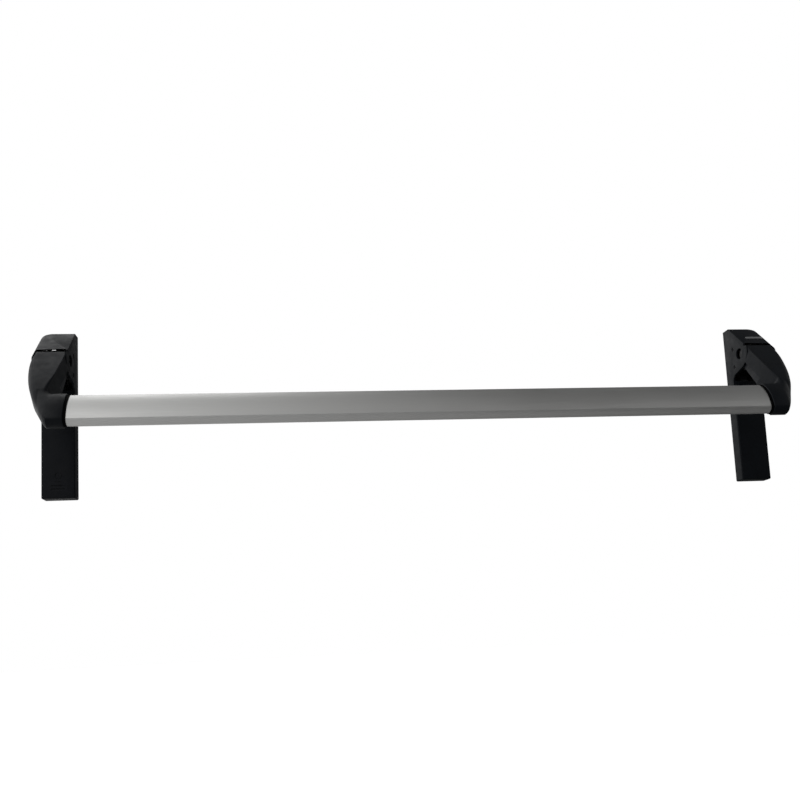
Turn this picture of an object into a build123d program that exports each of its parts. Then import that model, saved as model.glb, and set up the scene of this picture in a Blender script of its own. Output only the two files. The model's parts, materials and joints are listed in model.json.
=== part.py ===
from build123d import *
from math import acos, cos, hypot, pi, radians, sin, sqrt, tan
import os

# Panic exit bar: an oval push bar between two end units that are screwed to a door.
#
# Frame: +X along the bar, +Z up, the door face is the plane y = 0 and the bar stands in front of it,
# at negative y. The origin is the spindle axis of the left (active) unit on the door face.
# "depth" is the distance in front of the door face, so y = -depth.
# The left unit is drawn with its inner side, the side of the bar, towards +X. The right unit is its mirror.

# ---- Driving dimensions (mm) ----------------------------------------------------------------------
BAR_VISIBLE = 840.0         # bar length between the two seam rings
BAR_DEPTH = 116.6           # centre of the bar section in front of the door
BAR_Z = 21.4                # centre of the bar section above the spindle axis
BAR_TILT = 55.0             # slope of the section's long axis, forwards and down, degrees
OVAL_LENGTH = 45.4
OVAL_THICKNESS = 20.8
OVAL_CROWN_R = 51.0         # broad faces
OVAL_END_R = 8.7            # narrow ends
BAR_WALL = 2.0
BAR_INSERT = 12.0           # bar length hidden in ring and boss

RING_LENGTH = 3.0           # seam ring between boss and bar
BOSS_LENGTH = 14.0          # boss beyond the inner face of the unit
BOSS_GROW = 2.0             # boss wall outside the bar section
RING_GROW = 0.8

UNIT_WIDTH = 41.0
UNIT_TOP = 148.5
UNIT_BOTTOM = -63.0
SEAM_Z = 34.0               # joint between hood and lower cover
COVER_DEPTH = 17.0
COVER_WALL = 2.2
HOOD_TOP_DEPTH = 14.5       # where the flat top meets the sloping facet
LIP_DEPTH = 51.0            # lower front edge of the sloping facet
LIP_Z = 116.0
CHEEK_R = 20.7              # round front edge of the cheeks, about the pivot

PIVOT_DEPTH = 37.5
PIVOT_Z = 106.0
SWING = 22.0                # travel of the bar, degrees
ARM_TILT = 48.5             # slope of the arms, forwards and down, degrees
ARM_THICKNESS = 25.5
ARM_WALL = 3.0
ARM_CLEARANCE = 0.4

PLATE_THICKNESS = 2.0
PLATE_WIDTH = 35.0
FIXING_R = 2.75
FIXING_X = 9.0
FIXING_LOW_Z = -45.0
FIXING_HIGH_Z = 131.0

EAR_INNER = 12.3            # inner face of each ear from the unit's centre plane
EAR_THICKNESS = 2.5
EAR_R = 13.5
PIN_R = 4.0
BUSH_WALL = 1.0
BUSH_PLAY = 0.04
HUB_R = 12.6
HUB_HALF = 11.0

MODULE = 1.5
PRESSURE_ANGLE = radians(20.0)
ADDENDUM = 1.2
DEDENDUM = 1.65
BACKLASH = 0.1              # taken off each flank of a rack tooth, half of it off a gear tooth
SECTOR_TEETH = 30           # teeth of the full circle that the sector is cut from
PINION_TEETH = 14

SLIDE_BACK = 4.5            # depth of the slide plate's back face
SLIDE_THICKNESS = 3.0
SPINDLE_SIDE = 9.0
SPINDLE_REACH = 45.0        # how far the spindle stands into the door

# ---- Derived places -------------------------------------------------------------------------------
HALF_WIDTH = UNIT_WIDTH / 2
BOSS_END = HALF_WIDTH + BOSS_LENGTH
BAR_START = BOSS_END + RING_LENGTH
SPACING = BAR_VISIBLE + 2 * BAR_START
MIDDLE = Plane.YZ.offset(SPACING / 2)
WALL_INSIDE = HALF_WIDTH - COVER_WALL
EAR_OUTER = EAR_INNER + EAR_THICKNESS
SECTOR_R = MODULE * SECTOR_TEETH / 2
PINION_R = MODULE * PINION_TEETH / 2
PITCH = MODULE * pi
RACK_DEPTH = PIVOT_DEPTH - SECTOR_R
TRAVEL = SECTOR_R * radians(SWING)
PIVOT = (-PIVOT_DEPTH, PIVOT_Z)


# ---- Helpers --------------------------------------------------------------------------------------
def side(depth, height):
    """A point of a YZ sketch, from its distance in front of the door and its height."""
    return (-depth, height)


def round_pivot(radius, angle):
    """A YZ point round the pivot; angle 0 points away from the door, 90 up."""
    return side(PIVOT_DEPTH + radius * cos(radians(angle)), PIVOT_Z + radius * sin(radians(angle)))


def along_arm(distance, height):
    """A YZ point by its distance down the arm from the hood's lip and its height over that slope."""
    tilt = radians(ARM_TILT)
    depth = LIP_DEPTH + distance * cos(tilt) + height * sin(tilt)
    return side(depth, LIP_Z - 1 - distance * sin(tilt) + height * cos(tilt))


def bar_plane(x):
    """Section plane of the bar: local x runs down the long axis of the oval."""
    tilt = radians(BAR_TILT)
    return Plane(origin=(x, -BAR_DEPTH, BAR_Z), x_dir=(0, -cos(tilt), -sin(tilt)), z_dir=(1, 0, 0))


def arm_plane(height):
    """Plane of the arm's front outline: local x is X, local y runs up the arm from the hood's lip."""
    tilt = radians(ARM_TILT)
    normal = Vector(0, -sin(tilt), cos(tilt))
    lip = Vector(0, -LIP_DEPTH, LIP_Z - 1)
    return Plane(origin=lip + normal * height, x_dir=(1, 0, 0), z_dir=normal)


def bar_face_plane(x, height):
    """Plane along the bar's broad faces, at a height over the middle of the section."""
    tilt = radians(BAR_TILT)
    normal = Vector(0, -sin(tilt), cos(tilt))
    return Plane(origin=Vector(x, -BAR_DEPTH, BAR_Z) + normal * height, x_dir=(1, 0, 0), z_dir=normal)


def oval(grow):
    """The bar's oval section, offset outwards by grow: two crowned faces and two tight round ends."""
    crown_r = OVAL_CROWN_R + grow
    end_r = OVAL_END_R + grow
    half_length = OVAL_LENGTH / 2 + grow
    half_thickness = OVAL_THICKNESS / 2 + grow
    end_x = half_length - end_r
    crown_y = half_thickness - crown_r
    span = hypot(end_x, crown_y)
    # the corner is where the crown circle and the end circle cross
    reach = (crown_r**2 - end_r**2 + span**2) / (2 * span)
    rise = sqrt(crown_r**2 - reach**2)
    ux = end_x / span
    uy = -crown_y / span
    corner_x = reach * ux + rise * uy
    corner_y = crown_y + reach * uy - rise * ux
    with BuildSketch() as section:
        with BuildLine():
            ThreePointArc((-corner_x, corner_y), (0, half_thickness), (corner_x, corner_y))
            ThreePointArc((corner_x, corner_y), (half_length, 0), (corner_x, -corner_y))
            ThreePointArc((corner_x, -corner_y), (0, -half_thickness), (-corner_x, -corner_y))
            ThreePointArc((-corner_x, -corner_y), (-half_length, 0), (-corner_x, corner_y))
        make_face()
    return section.sketch


def gear_tooth(teeth):
    """One involute tooth of a gear centred on the origin, pointing along local +x."""
    pitch_r = MODULE * teeth / 2
    base_r = pitch_r * cos(PRESSURE_ANGLE)
    root_r = pitch_r - DEDENDUM
    tip_r = pitch_r + ADDENDUM
    start_r = max(base_r, root_r)
    involute = tan(PRESSURE_ANGLE) - PRESSURE_ANGLE

    def flank(radius, hand):
        roll = acos(min(1, base_r / radius))
        half = pi / (2 * teeth) + involute - (tan(roll) - roll) - BACKLASH / 2 / pitch_r
        return (radius * cos(half), hand * radius * sin(half))

    foot_r = root_r - 0.5
    foot_half = flank(start_r, 1)[1] / start_r
    with BuildSketch() as tooth:
        with BuildLine():
            ThreePointArc(flank(start_r, 1), flank((start_r + tip_r) / 2, 1), flank(tip_r, 1))
            Line(flank(tip_r, 1), flank(tip_r, -1))
            ThreePointArc(flank(tip_r, -1), flank((start_r + tip_r) / 2, -1), flank(start_r, -1))
            Polyline(
                flank(start_r, -1),
                (foot_r, -foot_r * foot_half),
                (foot_r, foot_r * foot_half),
                flank(start_r, 1),
            )
        make_face()
    return tooth.sketch


def rack_tooth():
    """One straight-sided rack tooth with its pitch line through the origin, pointing along local +x."""
    half = PITCH / 4 - BACKLASH
    tip = half - ADDENDUM * tan(PRESSURE_ANGLE)
    root = half + DEDENDUM * tan(PRESSURE_ANGLE)
    with BuildSketch() as tooth:
        with BuildLine():
            Polyline((-DEDENDUM, root), (ADDENDUM, tip), (ADDENDUM, -tip), (-DEDENDUM, -root), close=True)
        make_face()
    return tooth.sketch


def finish(piece, name):
    piece.part.label = name
    export_step(piece.part, f"parts/{name}.step")


def finish_right(piece, name):
    """Writes the mirrored twin that belongs to the right unit."""
    with BuildPart() as twin:
        add(piece.part)
        mirror(about=MIDDLE, mode=Mode.REPLACE)
    finish(twin, "right_" + name)


def finish_pair(piece, name):
    finish(piece, "left_" + name)
    finish_right(piece, name)


os.makedirs("parts", exist_ok=True)

# ---- Base plate -----------------------------------------------------------------------------------
PLATE_GAP = 0.3             # between the plate's ends and the covers
PLATE_CORNER_R = 3.0
PLATE_TOP = UNIT_TOP - COVER_WALL - PLATE_GAP
PLATE_BOTTOM = UNIT_BOTTOM + COVER_WALL + PLATE_GAP
SPRING_TAB_Z = 55.0
TAB_THICKNESS = 2.0
TAB_HALF = 6.0
TAB_DEPTH = 13.5
FOOT_TAB_Z = UNIT_BOTTOM + 5.0
FOOT_SCREW_DEPTH = 8.0
SCREW_CORE_R = 1.5

with BuildPart() as base_plate:
    with BuildSketch(Plane.XZ):
        with Locations((0, (PLATE_TOP + PLATE_BOTTOM) / 2)):
            RectangleRounded(PLATE_WIDTH, PLATE_TOP - PLATE_BOTTOM, PLATE_CORNER_R)
        for height in (FIXING_LOW_Z, FIXING_HIGH_Z):
            with Locations((-FIXING_X, height), (FIXING_X, height)):
                Circle(FIXING_R, mode=Mode.SUBTRACT)
    extrude(amount=PLATE_THICKNESS)
    # tabs bent forwards: the upper end of the return spring and the thread of the foot screw
    with BuildSketch(Plane.XZ.offset(PLATE_THICKNESS)):
        for tab_bottom in (SPRING_TAB_Z, FOOT_TAB_Z):
            with Locations((0, tab_bottom + TAB_THICKNESS / 2)):
                Rectangle(2 * TAB_HALF, TAB_THICKNESS)
    extrude(amount=TAB_DEPTH - PLATE_THICKNESS)
    with Locations((0, -FOOT_SCREW_DEPTH, FOOT_TAB_Z + TAB_THICKNESS)):
        Hole(radius=SCREW_CORE_R, depth=TAB_THICKNESS)

FOLLOWER_HUB_R = 7.0
HUB_PLAY = 0.05
with BuildPart() as left_base_plate:
    add(base_plate.part)
    with BuildSketch(Plane.XZ):
        Circle(FOLLOWER_HUB_R + HUB_PLAY)
    extrude(amount=PLATE_THICKNESS, mode=Mode.SUBTRACT)
finish(left_base_plate, "left_base_plate")
finish_right(base_plate, "base_plate")

# ---- Pivot frame: a web on the base plate with two ears --------------------------------------------
FRAME_BOTTOM = 70.0
FRAME_TOP = 126.0
EAR_FOOT_Z = 82.0
WEB_THICKNESS = 2.0
WEB_FRONT = PLATE_THICKNESS + WEB_THICKNESS
UPPER_SCREW = side(22.5, 116.5)
STOP_ROD = side(23.6, 91.7)
STOP_ROD_R = 3.0
STOP_LUG_WALL = 2.5

with BuildPart() as pivot_frame:
    with BuildSketch(Plane.XZ.offset(PLATE_THICKNESS)):
        with Locations((0, (FRAME_TOP + FRAME_BOTTOM) / 2)):
            Rectangle(2 * EAR_OUTER, FRAME_TOP - FRAME_BOTTOM)
    extrude(amount=WEB_THICKNESS)
    for ear_start in (EAR_INNER, -EAR_OUTER):
        with BuildSketch(Plane.YZ.offset(ear_start)):
            with Locations(PIVOT):
                Circle(EAR_R)
            with Locations(STOP_ROD):
                Circle(STOP_ROD_R + STOP_LUG_WALL)
            with Locations(side(WEB_FRONT, (FRAME_TOP + EAR_FOOT_Z) / 2)):
                Rectangle(WEB_THICKNESS * 2, FRAME_TOP - EAR_FOOT_Z)
            make_hull()
            with Locations(PIVOT):
                Circle(PIN_R, mode=Mode.SUBTRACT)
            with Locations(STOP_ROD):
                Circle(STOP_ROD_R, mode=Mode.SUBTRACT)
        extrude(amount=EAR_THICKNESS)
    # thread of the upper cheek screw, in the inner ear only
    with BuildSketch(Plane.YZ.offset(EAR_INNER)):
        with Locations(UPPER_SCREW):
            Circle(SCREW_CORE_R)
    extrude(amount=EAR_THICKNESS, mode=Mode.SUBTRACT)
finish_pair(pivot_frame, "pivot_frame")

# ---- Pivot pin, its clip, and the stop rod -----------------------------------------------------------
PIN_HEAD_R = 5.4
PIN_HEAD_LENGTH = 2.8
PIN_HEAD_CHAMFER = 0.6
PIN_END_CHAMFER = 0.4
PIN_TIP = 0.7               # pin beyond the clip
CLIP_THICKNESS = 0.8
CLIP_START = EAR_OUTER + 0.2
CLIP_END = CLIP_START + CLIP_THICKNESS
CLIP_R = 6.4
CLIP_MOUTH = 4.4
GROOVE_R = 3.1

with BuildPart() as pivot_pin:
    with BuildSketch(Plane.YZ.offset(-CLIP_END - PIN_TIP)):
        with Locations(PIVOT):
            Circle(PIN_R)
    extrude(amount=CLIP_END + PIN_TIP + EAR_OUTER)
    with BuildSketch(Plane.YZ.offset(EAR_OUTER)):
        with Locations(PIVOT):
            Circle(PIN_HEAD_R)
    extrude(amount=PIN_HEAD_LENGTH)
    chamfer(pivot_pin.faces().sort_by(Axis.X)[-1].edges(), PIN_HEAD_CHAMFER)
    chamfer(pivot_pin.faces().sort_by(Axis.X)[0].edges(), PIN_END_CHAMFER)
    with BuildSketch(Plane.YZ.offset(-CLIP_END)):
        with Locations(PIVOT):
            Circle(PIN_R + 1)
            Circle(GROOVE_R, mode=Mode.SUBTRACT)
    extrude(amount=CLIP_THICKNESS, mode=Mode.SUBTRACT)
finish_pair(pivot_pin, "pivot_pin")

with BuildPart() as pin_clip:
    with BuildSketch(Plane.YZ.offset(-CLIP_END)):
        with Locations(PIVOT):
            Circle(CLIP_R)
            Circle(GROOVE_R, mode=Mode.SUBTRACT)
        with Locations(round_pivot(CLIP_R - CLIP_MOUTH / 2, 90)):
            Rectangle(CLIP_MOUTH, 2 * CLIP_MOUTH, mode=Mode.SUBTRACT)
    extrude(amount=CLIP_THICKNESS)
finish_pair(pin_clip, "pin_clip")

STOP_THREAD = 6.0           # depth of the thread in the rod's end
with BuildPart() as stop_rod:
    with BuildSketch(Plane.YZ.offset(-EAR_OUTER)):
        with Locations(STOP_ROD):
            Circle(STOP_ROD_R)
    extrude(amount=2 * EAR_OUTER)
    # thread of the lower cheek screw
    with BuildSketch(Plane.YZ.offset(EAR_OUTER - STOP_THREAD)):
        with Locations(STOP_ROD):
            Circle(SCREW_CORE_R)
    extrude(amount=STOP_THREAD, mode=Mode.SUBTRACT)
finish_pair(stop_rod, "stop_rod")

STOP_SLEEVE_R = 4.0
STOP_SLEEVE_HALF = 7.0
with BuildPart() as stop_sleeve:
    with BuildSketch(Plane.YZ.offset(-STOP_SLEEVE_HALF)):
        with Locations(STOP_ROD):
            Circle(STOP_SLEEVE_R)
            Circle(STOP_ROD_R, mode=Mode.SUBTRACT)
    extrude(amount=2 * STOP_SLEEVE_HALF)
finish_pair(stop_sleeve, "stop_sleeve")

# ---- Hood: cheeks, sloping facet and the wall below the arm's opening --------------------------------
FACET = Vector(LIP_DEPTH - HOOD_TOP_DEPTH, LIP_Z - UNIT_TOP).normalized()
FACET_INWARD = Vector(FACET.Y, -FACET.X)
LIP_INSIDE = Vector(LIP_DEPTH, LIP_Z) + FACET_INWARD * COVER_WALL
TOP_CORNER_INSIDE_Z = UNIT_TOP - COVER_WALL
TOP_CORNER_INSIDE = LIP_INSIDE + FACET * ((TOP_CORNER_INSIDE_Z - LIP_INSIDE.Y) / FACET.Y)
CHEEK_LEAVE = -78.0         # angle where the cheek's round edge runs out towards the door
CHEEK_MEET = 14.0           # angle where it meets the notch under the lip
NOTCH = side(50.4, 113.0)
CHEEK_BEND_R = 9.0
WALL_TOP = 74.0             # top of the front wall between the cheeks
HOOD_CORNER_R = 14.0
RECESS_R = 7.2
CHEEK_SCREW_R = 2.6
BOSS_R = 4.2

LEAVE_DEPTH = PIVOT_DEPTH + CHEEK_R * cos(radians(CHEEK_LEAVE))
LEAVE_Z = PIVOT_Z + CHEEK_R * sin(radians(CHEEK_LEAVE))
BEND_Z = LEAVE_Z - (LEAVE_DEPTH - COVER_DEPTH) * tan(radians(90 + CHEEK_LEAVE))

with BuildPart() as hood:
    with BuildSketch(Plane.YZ.offset(-HALF_WIDTH)):
        with BuildLine():
            Polyline(
                side(COVER_DEPTH, BEND_Z),
                side(COVER_DEPTH, SEAM_Z),
                side(0, SEAM_Z),
                side(0, UNIT_TOP),
                side(HOOD_TOP_DEPTH, UNIT_TOP),
                side(LIP_DEPTH, LIP_Z),
                NOTCH,
                round_pivot(CHEEK_R, CHEEK_MEET),
            )
            ThreePointArc(
                round_pivot(CHEEK_R, CHEEK_MEET),
                round_pivot(CHEEK_R, (CHEEK_MEET + CHEEK_LEAVE) / 2),
                round_pivot(CHEEK_R, CHEEK_LEAVE),
            )
            Line(side(LEAVE_DEPTH, LEAVE_Z), side(COVER_DEPTH, BEND_Z))
        make_face()
    extrude(amount=UNIT_WIDTH)
    bend = hood.edges().filter_by(Axis.X).sort_by_distance((0, *side(COVER_DEPTH, BEND_Z)))[0]
    fillet(bend, CHEEK_BEND_R)
    # seen from the front, the outer top corner is round
    with BuildSketch(Plane.XZ):
        with Locations((0, (UNIT_TOP + SEAM_Z) / 2)):
            Rectangle(UNIT_WIDTH, UNIT_TOP - SEAM_Z)
        fillet(vertices().group_by(Axis.Y)[-1].sort_by(Axis.X)[0], HOOD_CORNER_R)
    extrude(amount=2 * LIP_DEPTH, mode=Mode.INTERSECT)
    # inside, open to the door, to the lower cover and to the front for the arm
    with BuildSketch(Plane.YZ.offset(-WALL_INSIDE)):
        with BuildLine():
            Polyline(
                side(-1, SEAM_Z - 1),
                side(COVER_DEPTH - COVER_WALL, SEAM_Z - 1),
                side(COVER_DEPTH - COVER_WALL, WALL_TOP),
                side(2 * LIP_DEPTH, WALL_TOP),
                side(2 * LIP_DEPTH, LIP_Z),
                side(LIP_DEPTH, LIP_Z),
                side(LIP_INSIDE.X, LIP_INSIDE.Y),
                side(TOP_CORNER_INSIDE.X, TOP_CORNER_INSIDE.Y),
                side(-1, TOP_CORNER_INSIDE_Z),
                close=True,
            )
        make_face()
    extrude(amount=2 * WALL_INSIDE, mode=Mode.SUBTRACT)
    # pillars of the two cheek screws, down to the inner ear
    with BuildSketch(Plane.YZ.offset(EAR_OUTER)):
        with Locations(UPPER_SCREW, STOP_ROD):
            Circle(BOSS_R)
    extrude(amount=WALL_INSIDE - EAR_OUTER)
    with BuildSketch(Plane.YZ.offset(EAR_OUTER)):
        with Locations(UPPER_SCREW, STOP_ROD):
            Circle(SCREW_CORE_R)
    extrude(amount=HALF_WIDTH - EAR_OUTER, mode=Mode.SUBTRACT)
    # recesses over the screw heads and the open window over the pin head
    with BuildSketch(Plane.YZ.offset(HALF_WIDTH)):
        with Locations(UPPER_SCREW, STOP_ROD):
            Circle(CHEEK_SCREW_R)
    extrude(amount=-COVER_WALL, mode=Mode.SUBTRACT)
    with BuildSketch(Plane.YZ.offset(HALF_WIDTH)):
        with Locations(PIVOT):
            Circle(RECESS_R)
    extrude(amount=-COVER_WALL, mode=Mode.SUBTRACT)
finish_pair(hood, "hood")

CHEEK_HEAD_LENGTH = 1.4
CHEEK_SOCKET = 1.25         # corner radius of the hexagon socket
CHEEK_SCREW_TIP = EAR_INNER + 0.3
with BuildPart() as cheek_screws:
    with BuildSketch(Plane.YZ.offset(CHEEK_SCREW_TIP)):
        with Locations(UPPER_SCREW, STOP_ROD):
            Circle(SCREW_CORE_R)
    extrude(amount=WALL_INSIDE - CHEEK_SCREW_TIP)
    with BuildSketch(Plane.YZ.offset(WALL_INSIDE)):
        with Locations(UPPER_SCREW, STOP_ROD):
            Circle(CHEEK_SCREW_R)
    extrude(amount=CHEEK_HEAD_LENGTH)
    with BuildSketch(Plane.YZ.offset(WALL_INSIDE + CHEEK_HEAD_LENGTH)):
        with Locations(UPPER_SCREW, STOP_ROD):
            RegularPolygon(CHEEK_SOCKET, 6)
    extrude(amount=-1.0, mode=Mode.SUBTRACT)
finish_pair(cheek_screws, "cheek_screws")

# ---- Blank badge on the right hood -------------------------------------------------------------------
BADGE_LENGTH = 24.0
BADGE_HEIGHT = 5.5
BADGE_THICKNESS = 0.6
BADGE_UP_FACET = 18.0
BADGE_DEPTH = LIP_DEPTH - FACET.X * BADGE_UP_FACET
BADGE_Z = LIP_Z - FACET.Y * BADGE_UP_FACET
BADGE_X = SPACING + 3.0
BADGE_PLANE = Plane(origin=(BADGE_X, -BADGE_DEPTH, BADGE_Z), x_dir=(1, 0, 0), z_dir=(0, FACET.Y, FACET.X))
with BuildPart() as right_badge:
    with BuildSketch(BADGE_PLANE):
        SlotOverall(BADGE_LENGTH, BADGE_HEIGHT)
    extrude(amount=BADGE_THICKNESS)
finish(right_badge, "right_badge")

# ---- Lower cover --------------------------------------------------------------------------------------
COVER_EDGE_R = 1.6
FOOT_HEAD_R = 2.9
FOOT_HEAD_HEIGHT = 1.4
TONGUE_HALF = 9.0
TONGUE_THICKNESS = 1.2
TONGUE_REACH = 4.0

with BuildPart() as lower_cover:
    with BuildSketch(Plane.XZ):
        with Locations((0, (SEAM_Z + UNIT_BOTTOM) / 2)):
            Rectangle(UNIT_WIDTH, SEAM_Z - UNIT_BOTTOM)
    extrude(amount=COVER_DEPTH)
    front = lower_cover.faces().sort_by(Axis.Y)[0]
    fillet(front.edges().filter_by(Axis.Z) + front.edges().group_by(Axis.Z)[0], COVER_EDGE_R)
    with BuildSketch(Plane.XZ):
        with Locations((0, (SEAM_Z + 1 + UNIT_BOTTOM + COVER_WALL) / 2)):
            Rectangle(2 * WALL_INSIDE, SEAM_Z + 1 - UNIT_BOTTOM - COVER_WALL)
    extrude(amount=COVER_DEPTH - COVER_WALL, mode=Mode.SUBTRACT)
    # tongue behind the hood's front wall
    with BuildSketch(Plane.XZ.offset(COVER_DEPTH - COVER_WALL - TONGUE_THICKNESS)):
        with Locations((0, SEAM_Z)):
            Rectangle(2 * TONGUE_HALF, 2 * TONGUE_REACH)
    extrude(amount=TONGUE_THICKNESS)
    # countersunk hole of the foot screw
    with BuildSketch(Plane.XY.offset(UNIT_BOTTOM)):
        with Locations((0, -FOOT_SCREW_DEPTH)):
            Circle(FOOT_HEAD_R)
    with BuildSketch(Plane.XY.offset(UNIT_BOTTOM + FOOT_HEAD_HEIGHT)):
        with Locations((0, -FOOT_SCREW_DEPTH)):
            Circle(SCREW_CORE_R)
    loft(mode=Mode.SUBTRACT)
    with BuildSketch(Plane.XY.offset(UNIT_BOTTOM)):
        with Locations((0, -FOOT_SCREW_DEPTH)):
            Circle(SCREW_CORE_R)
    extrude(amount=COVER_WALL, mode=Mode.SUBTRACT)

# the left cover has a plain ring and three plain bars sunk in its front near the foot
MARK_DEPTH = 0.3
RING_R = 4.4
RING_LINE = 0.9
RING_Z = UNIT_BOTTOM + 26.0
SHORT_BAR_Z = UNIT_BOTTOM + 18.5
LONG_BAR_HEIGHTS = (UNIT_BOTTOM + 13.5, UNIT_BOTTOM + 9.5)
with BuildPart() as left_lower_cover:
    add(lower_cover.part)
    with BuildSketch(Plane.XZ.offset(COVER_DEPTH - MARK_DEPTH)):
        with Locations((0, RING_Z)):
            Circle(RING_R)
            Circle(RING_R - RING_LINE, mode=Mode.SUBTRACT)
        with Locations((0, SHORT_BAR_Z)):
            SlotOverall(8, 1.2)
        for bar_z in LONG_BAR_HEIGHTS:
            with Locations((0, bar_z)):
                SlotOverall(18, 1.4)
    extrude(amount=COVER_WALL / 2, mode=Mode.SUBTRACT)
finish(left_lower_cover, "left_lower_cover")
finish_right(lower_cover, "lower_cover")

FOOT_SCREW_LENGTH = 7.0
FOOT_SOCKET = 1.2
FOOT_SOCKET_DEPTH = 0.9
with BuildPart() as foot_screw:
    with BuildSketch(Plane.XY.offset(UNIT_BOTTOM)):
        with Locations((0, -FOOT_SCREW_DEPTH)):
            Circle(FOOT_HEAD_R)
    with BuildSketch(Plane.XY.offset(UNIT_BOTTOM + FOOT_HEAD_HEIGHT)):
        with Locations((0, -FOOT_SCREW_DEPTH)):
            Circle(SCREW_CORE_R)
    loft()
    with BuildSketch(Plane.XY.offset(UNIT_BOTTOM + FOOT_HEAD_HEIGHT)):
        with Locations((0, -FOOT_SCREW_DEPTH)):
            Circle(SCREW_CORE_R)
    extrude(amount=FOOT_SCREW_LENGTH)
    with BuildSketch(Plane.XY.offset(UNIT_BOTTOM)):
        with Locations((0, -FOOT_SCREW_DEPTH)):
            RegularPolygon(FOOT_SOCKET, 6)
    extrude(amount=FOOT_SOCKET_DEPTH, mode=Mode.SUBTRACT)
finish_pair(foot_screw, "foot_screw")

# ---- Slide: rack for the sector at the top, rack for the pinion on its outer strip ---------------------
STRIP_INNER = 12.0          # inner edge of the two side strips
STRIP_OUTER = 15.2
SLIDE_HEAD_HALF = 11.8
SHOULDER_Z = 60.0
HEAD_BOTTOM = 64.0
HEAD_TOP = 116.0
CROSS_BAR_Z = 13.4
CROSS_BAR_HEIGHT = 3.4
STRIP_END_Z = -17.0
RACK_HALF_WIDTH = 5.0
STUD_R = 2.2
STUD_PLAY = 0.05
STUD_X = 8.3
STUD_HEIGHTS = (80.0, 104.0)
SPIGOT_R = 2.4
SPIGOT_LENGTH = 4.0
SLIDE_FRONT = SLIDE_BACK + SLIDE_THICKNESS
RACK_ROOT = RACK_DEPTH - DEDENDUM
SPRING_DEPTH = FOOT_SCREW_DEPTH + 0.4
SLOT_SPARE = 0.6            # slot length beyond the travel
WINDOW_EDGE = 1.5           # strip width left beside the window

with BuildPart() as slide:
    with BuildSketch(Plane.XZ.offset(SLIDE_BACK)):
        with BuildLine():
            Polyline(
                (-STRIP_OUTER, STRIP_END_Z),
                (-STRIP_OUTER, SHOULDER_Z),
                (-SLIDE_HEAD_HALF, SHOULDER_Z),
                (-SLIDE_HEAD_HALF, HEAD_TOP),
                (SLIDE_HEAD_HALF, HEAD_TOP),
                (SLIDE_HEAD_HALF, SHOULDER_Z),
                (STRIP_OUTER, SHOULDER_Z),
                (STRIP_OUTER, CROSS_BAR_Z),
                (-STRIP_INNER, CROSS_BAR_Z),
                (-STRIP_INNER, STRIP_END_Z),
                close=True,
            )
        make_face()
        # window for the spring and its fixed tab
        with Locations((0, (HEAD_BOTTOM + CROSS_BAR_Z + CROSS_BAR_HEIGHT) / 2)):
            Rectangle(
                2 * (STRIP_INNER - WINDOW_EDGE),
                HEAD_BOTTOM - CROSS_BAR_Z - CROSS_BAR_HEIGHT,
                mode=Mode.SUBTRACT,
            )
        # slots for the guide studs; the studs stand at their upper ends at rest
        for x in (-STUD_X, STUD_X):
            for height in STUD_HEIGHTS:
                with Locations((x, height - TRAVEL / 2)):
                    SlotCenterToCenter(
                        TRAVEL + SLOT_SPARE, 2 * (STUD_R + STUD_PLAY), rotation=90, mode=Mode.SUBTRACT
                    )
        # teeth for the pinion
        for k in range(-3, 2):
            with Locations((-PINION_R, k * PITCH)):
                add(rack_tooth())
    extrude(amount=SLIDE_THICKNESS)
    # rack for the arm's sector
    with BuildSketch(Plane.YZ.offset(-RACK_HALF_WIDTH)):
        with Locations(side((SLIDE_FRONT + RACK_ROOT) / 2, PIVOT_Z - PITCH)):
            Rectangle(RACK_ROOT - SLIDE_FRONT, 5 * PITCH)
        for k in range(-3, 2):
            with Locations(Location((*side(RACK_DEPTH, PIVOT_Z + k * PITCH), 0), (0, 0, 180))):
                add(rack_tooth())
    extrude(amount=2 * RACK_HALF_WIDTH)
    # seat and spigot of the return spring
    with BuildSketch(Plane.XZ.offset(SLIDE_BACK)):
        with Locations((0, CROSS_BAR_Z + CROSS_BAR_HEIGHT / 2)):
            Rectangle(2 * TAB_HALF, CROSS_BAR_HEIGHT)
    extrude(amount=TAB_DEPTH - SLIDE_BACK - 0.5)
    with BuildSketch(Plane.XY.offset(CROSS_BAR_Z + CROSS_BAR_HEIGHT)):
        with Locations((0, -SPRING_DEPTH)):
            Circle(SPIGOT_R)
    extrude(amount=SPIGOT_LENGTH)
finish_pair(slide, "slide")

SPRING_R = 3.7
SPRING_WIRE_R = 0.6
SPRING_BOTTOM = CROSS_BAR_Z + CROSS_BAR_HEIGHT
SPRING_LENGTH = SPRING_TAB_Z - SPRING_BOTTOM
SPRING_TURNS = 9
with BuildPart() as return_spring:
    with BuildLine() as coil:
        Helix(
            pitch=(SPRING_LENGTH - 2 * SPRING_WIRE_R) / SPRING_TURNS,
            height=SPRING_LENGTH - 2 * SPRING_WIRE_R,
            radius=SPRING_R,
            center=(0, -SPRING_DEPTH, SPRING_BOTTOM + SPRING_WIRE_R),
        )
    with BuildSketch(Plane(origin=coil.line @ 0, z_dir=coil.line % 0)):
        Circle(SPRING_WIRE_R)
    sweep()
finish_pair(return_spring, "return_spring")

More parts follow.
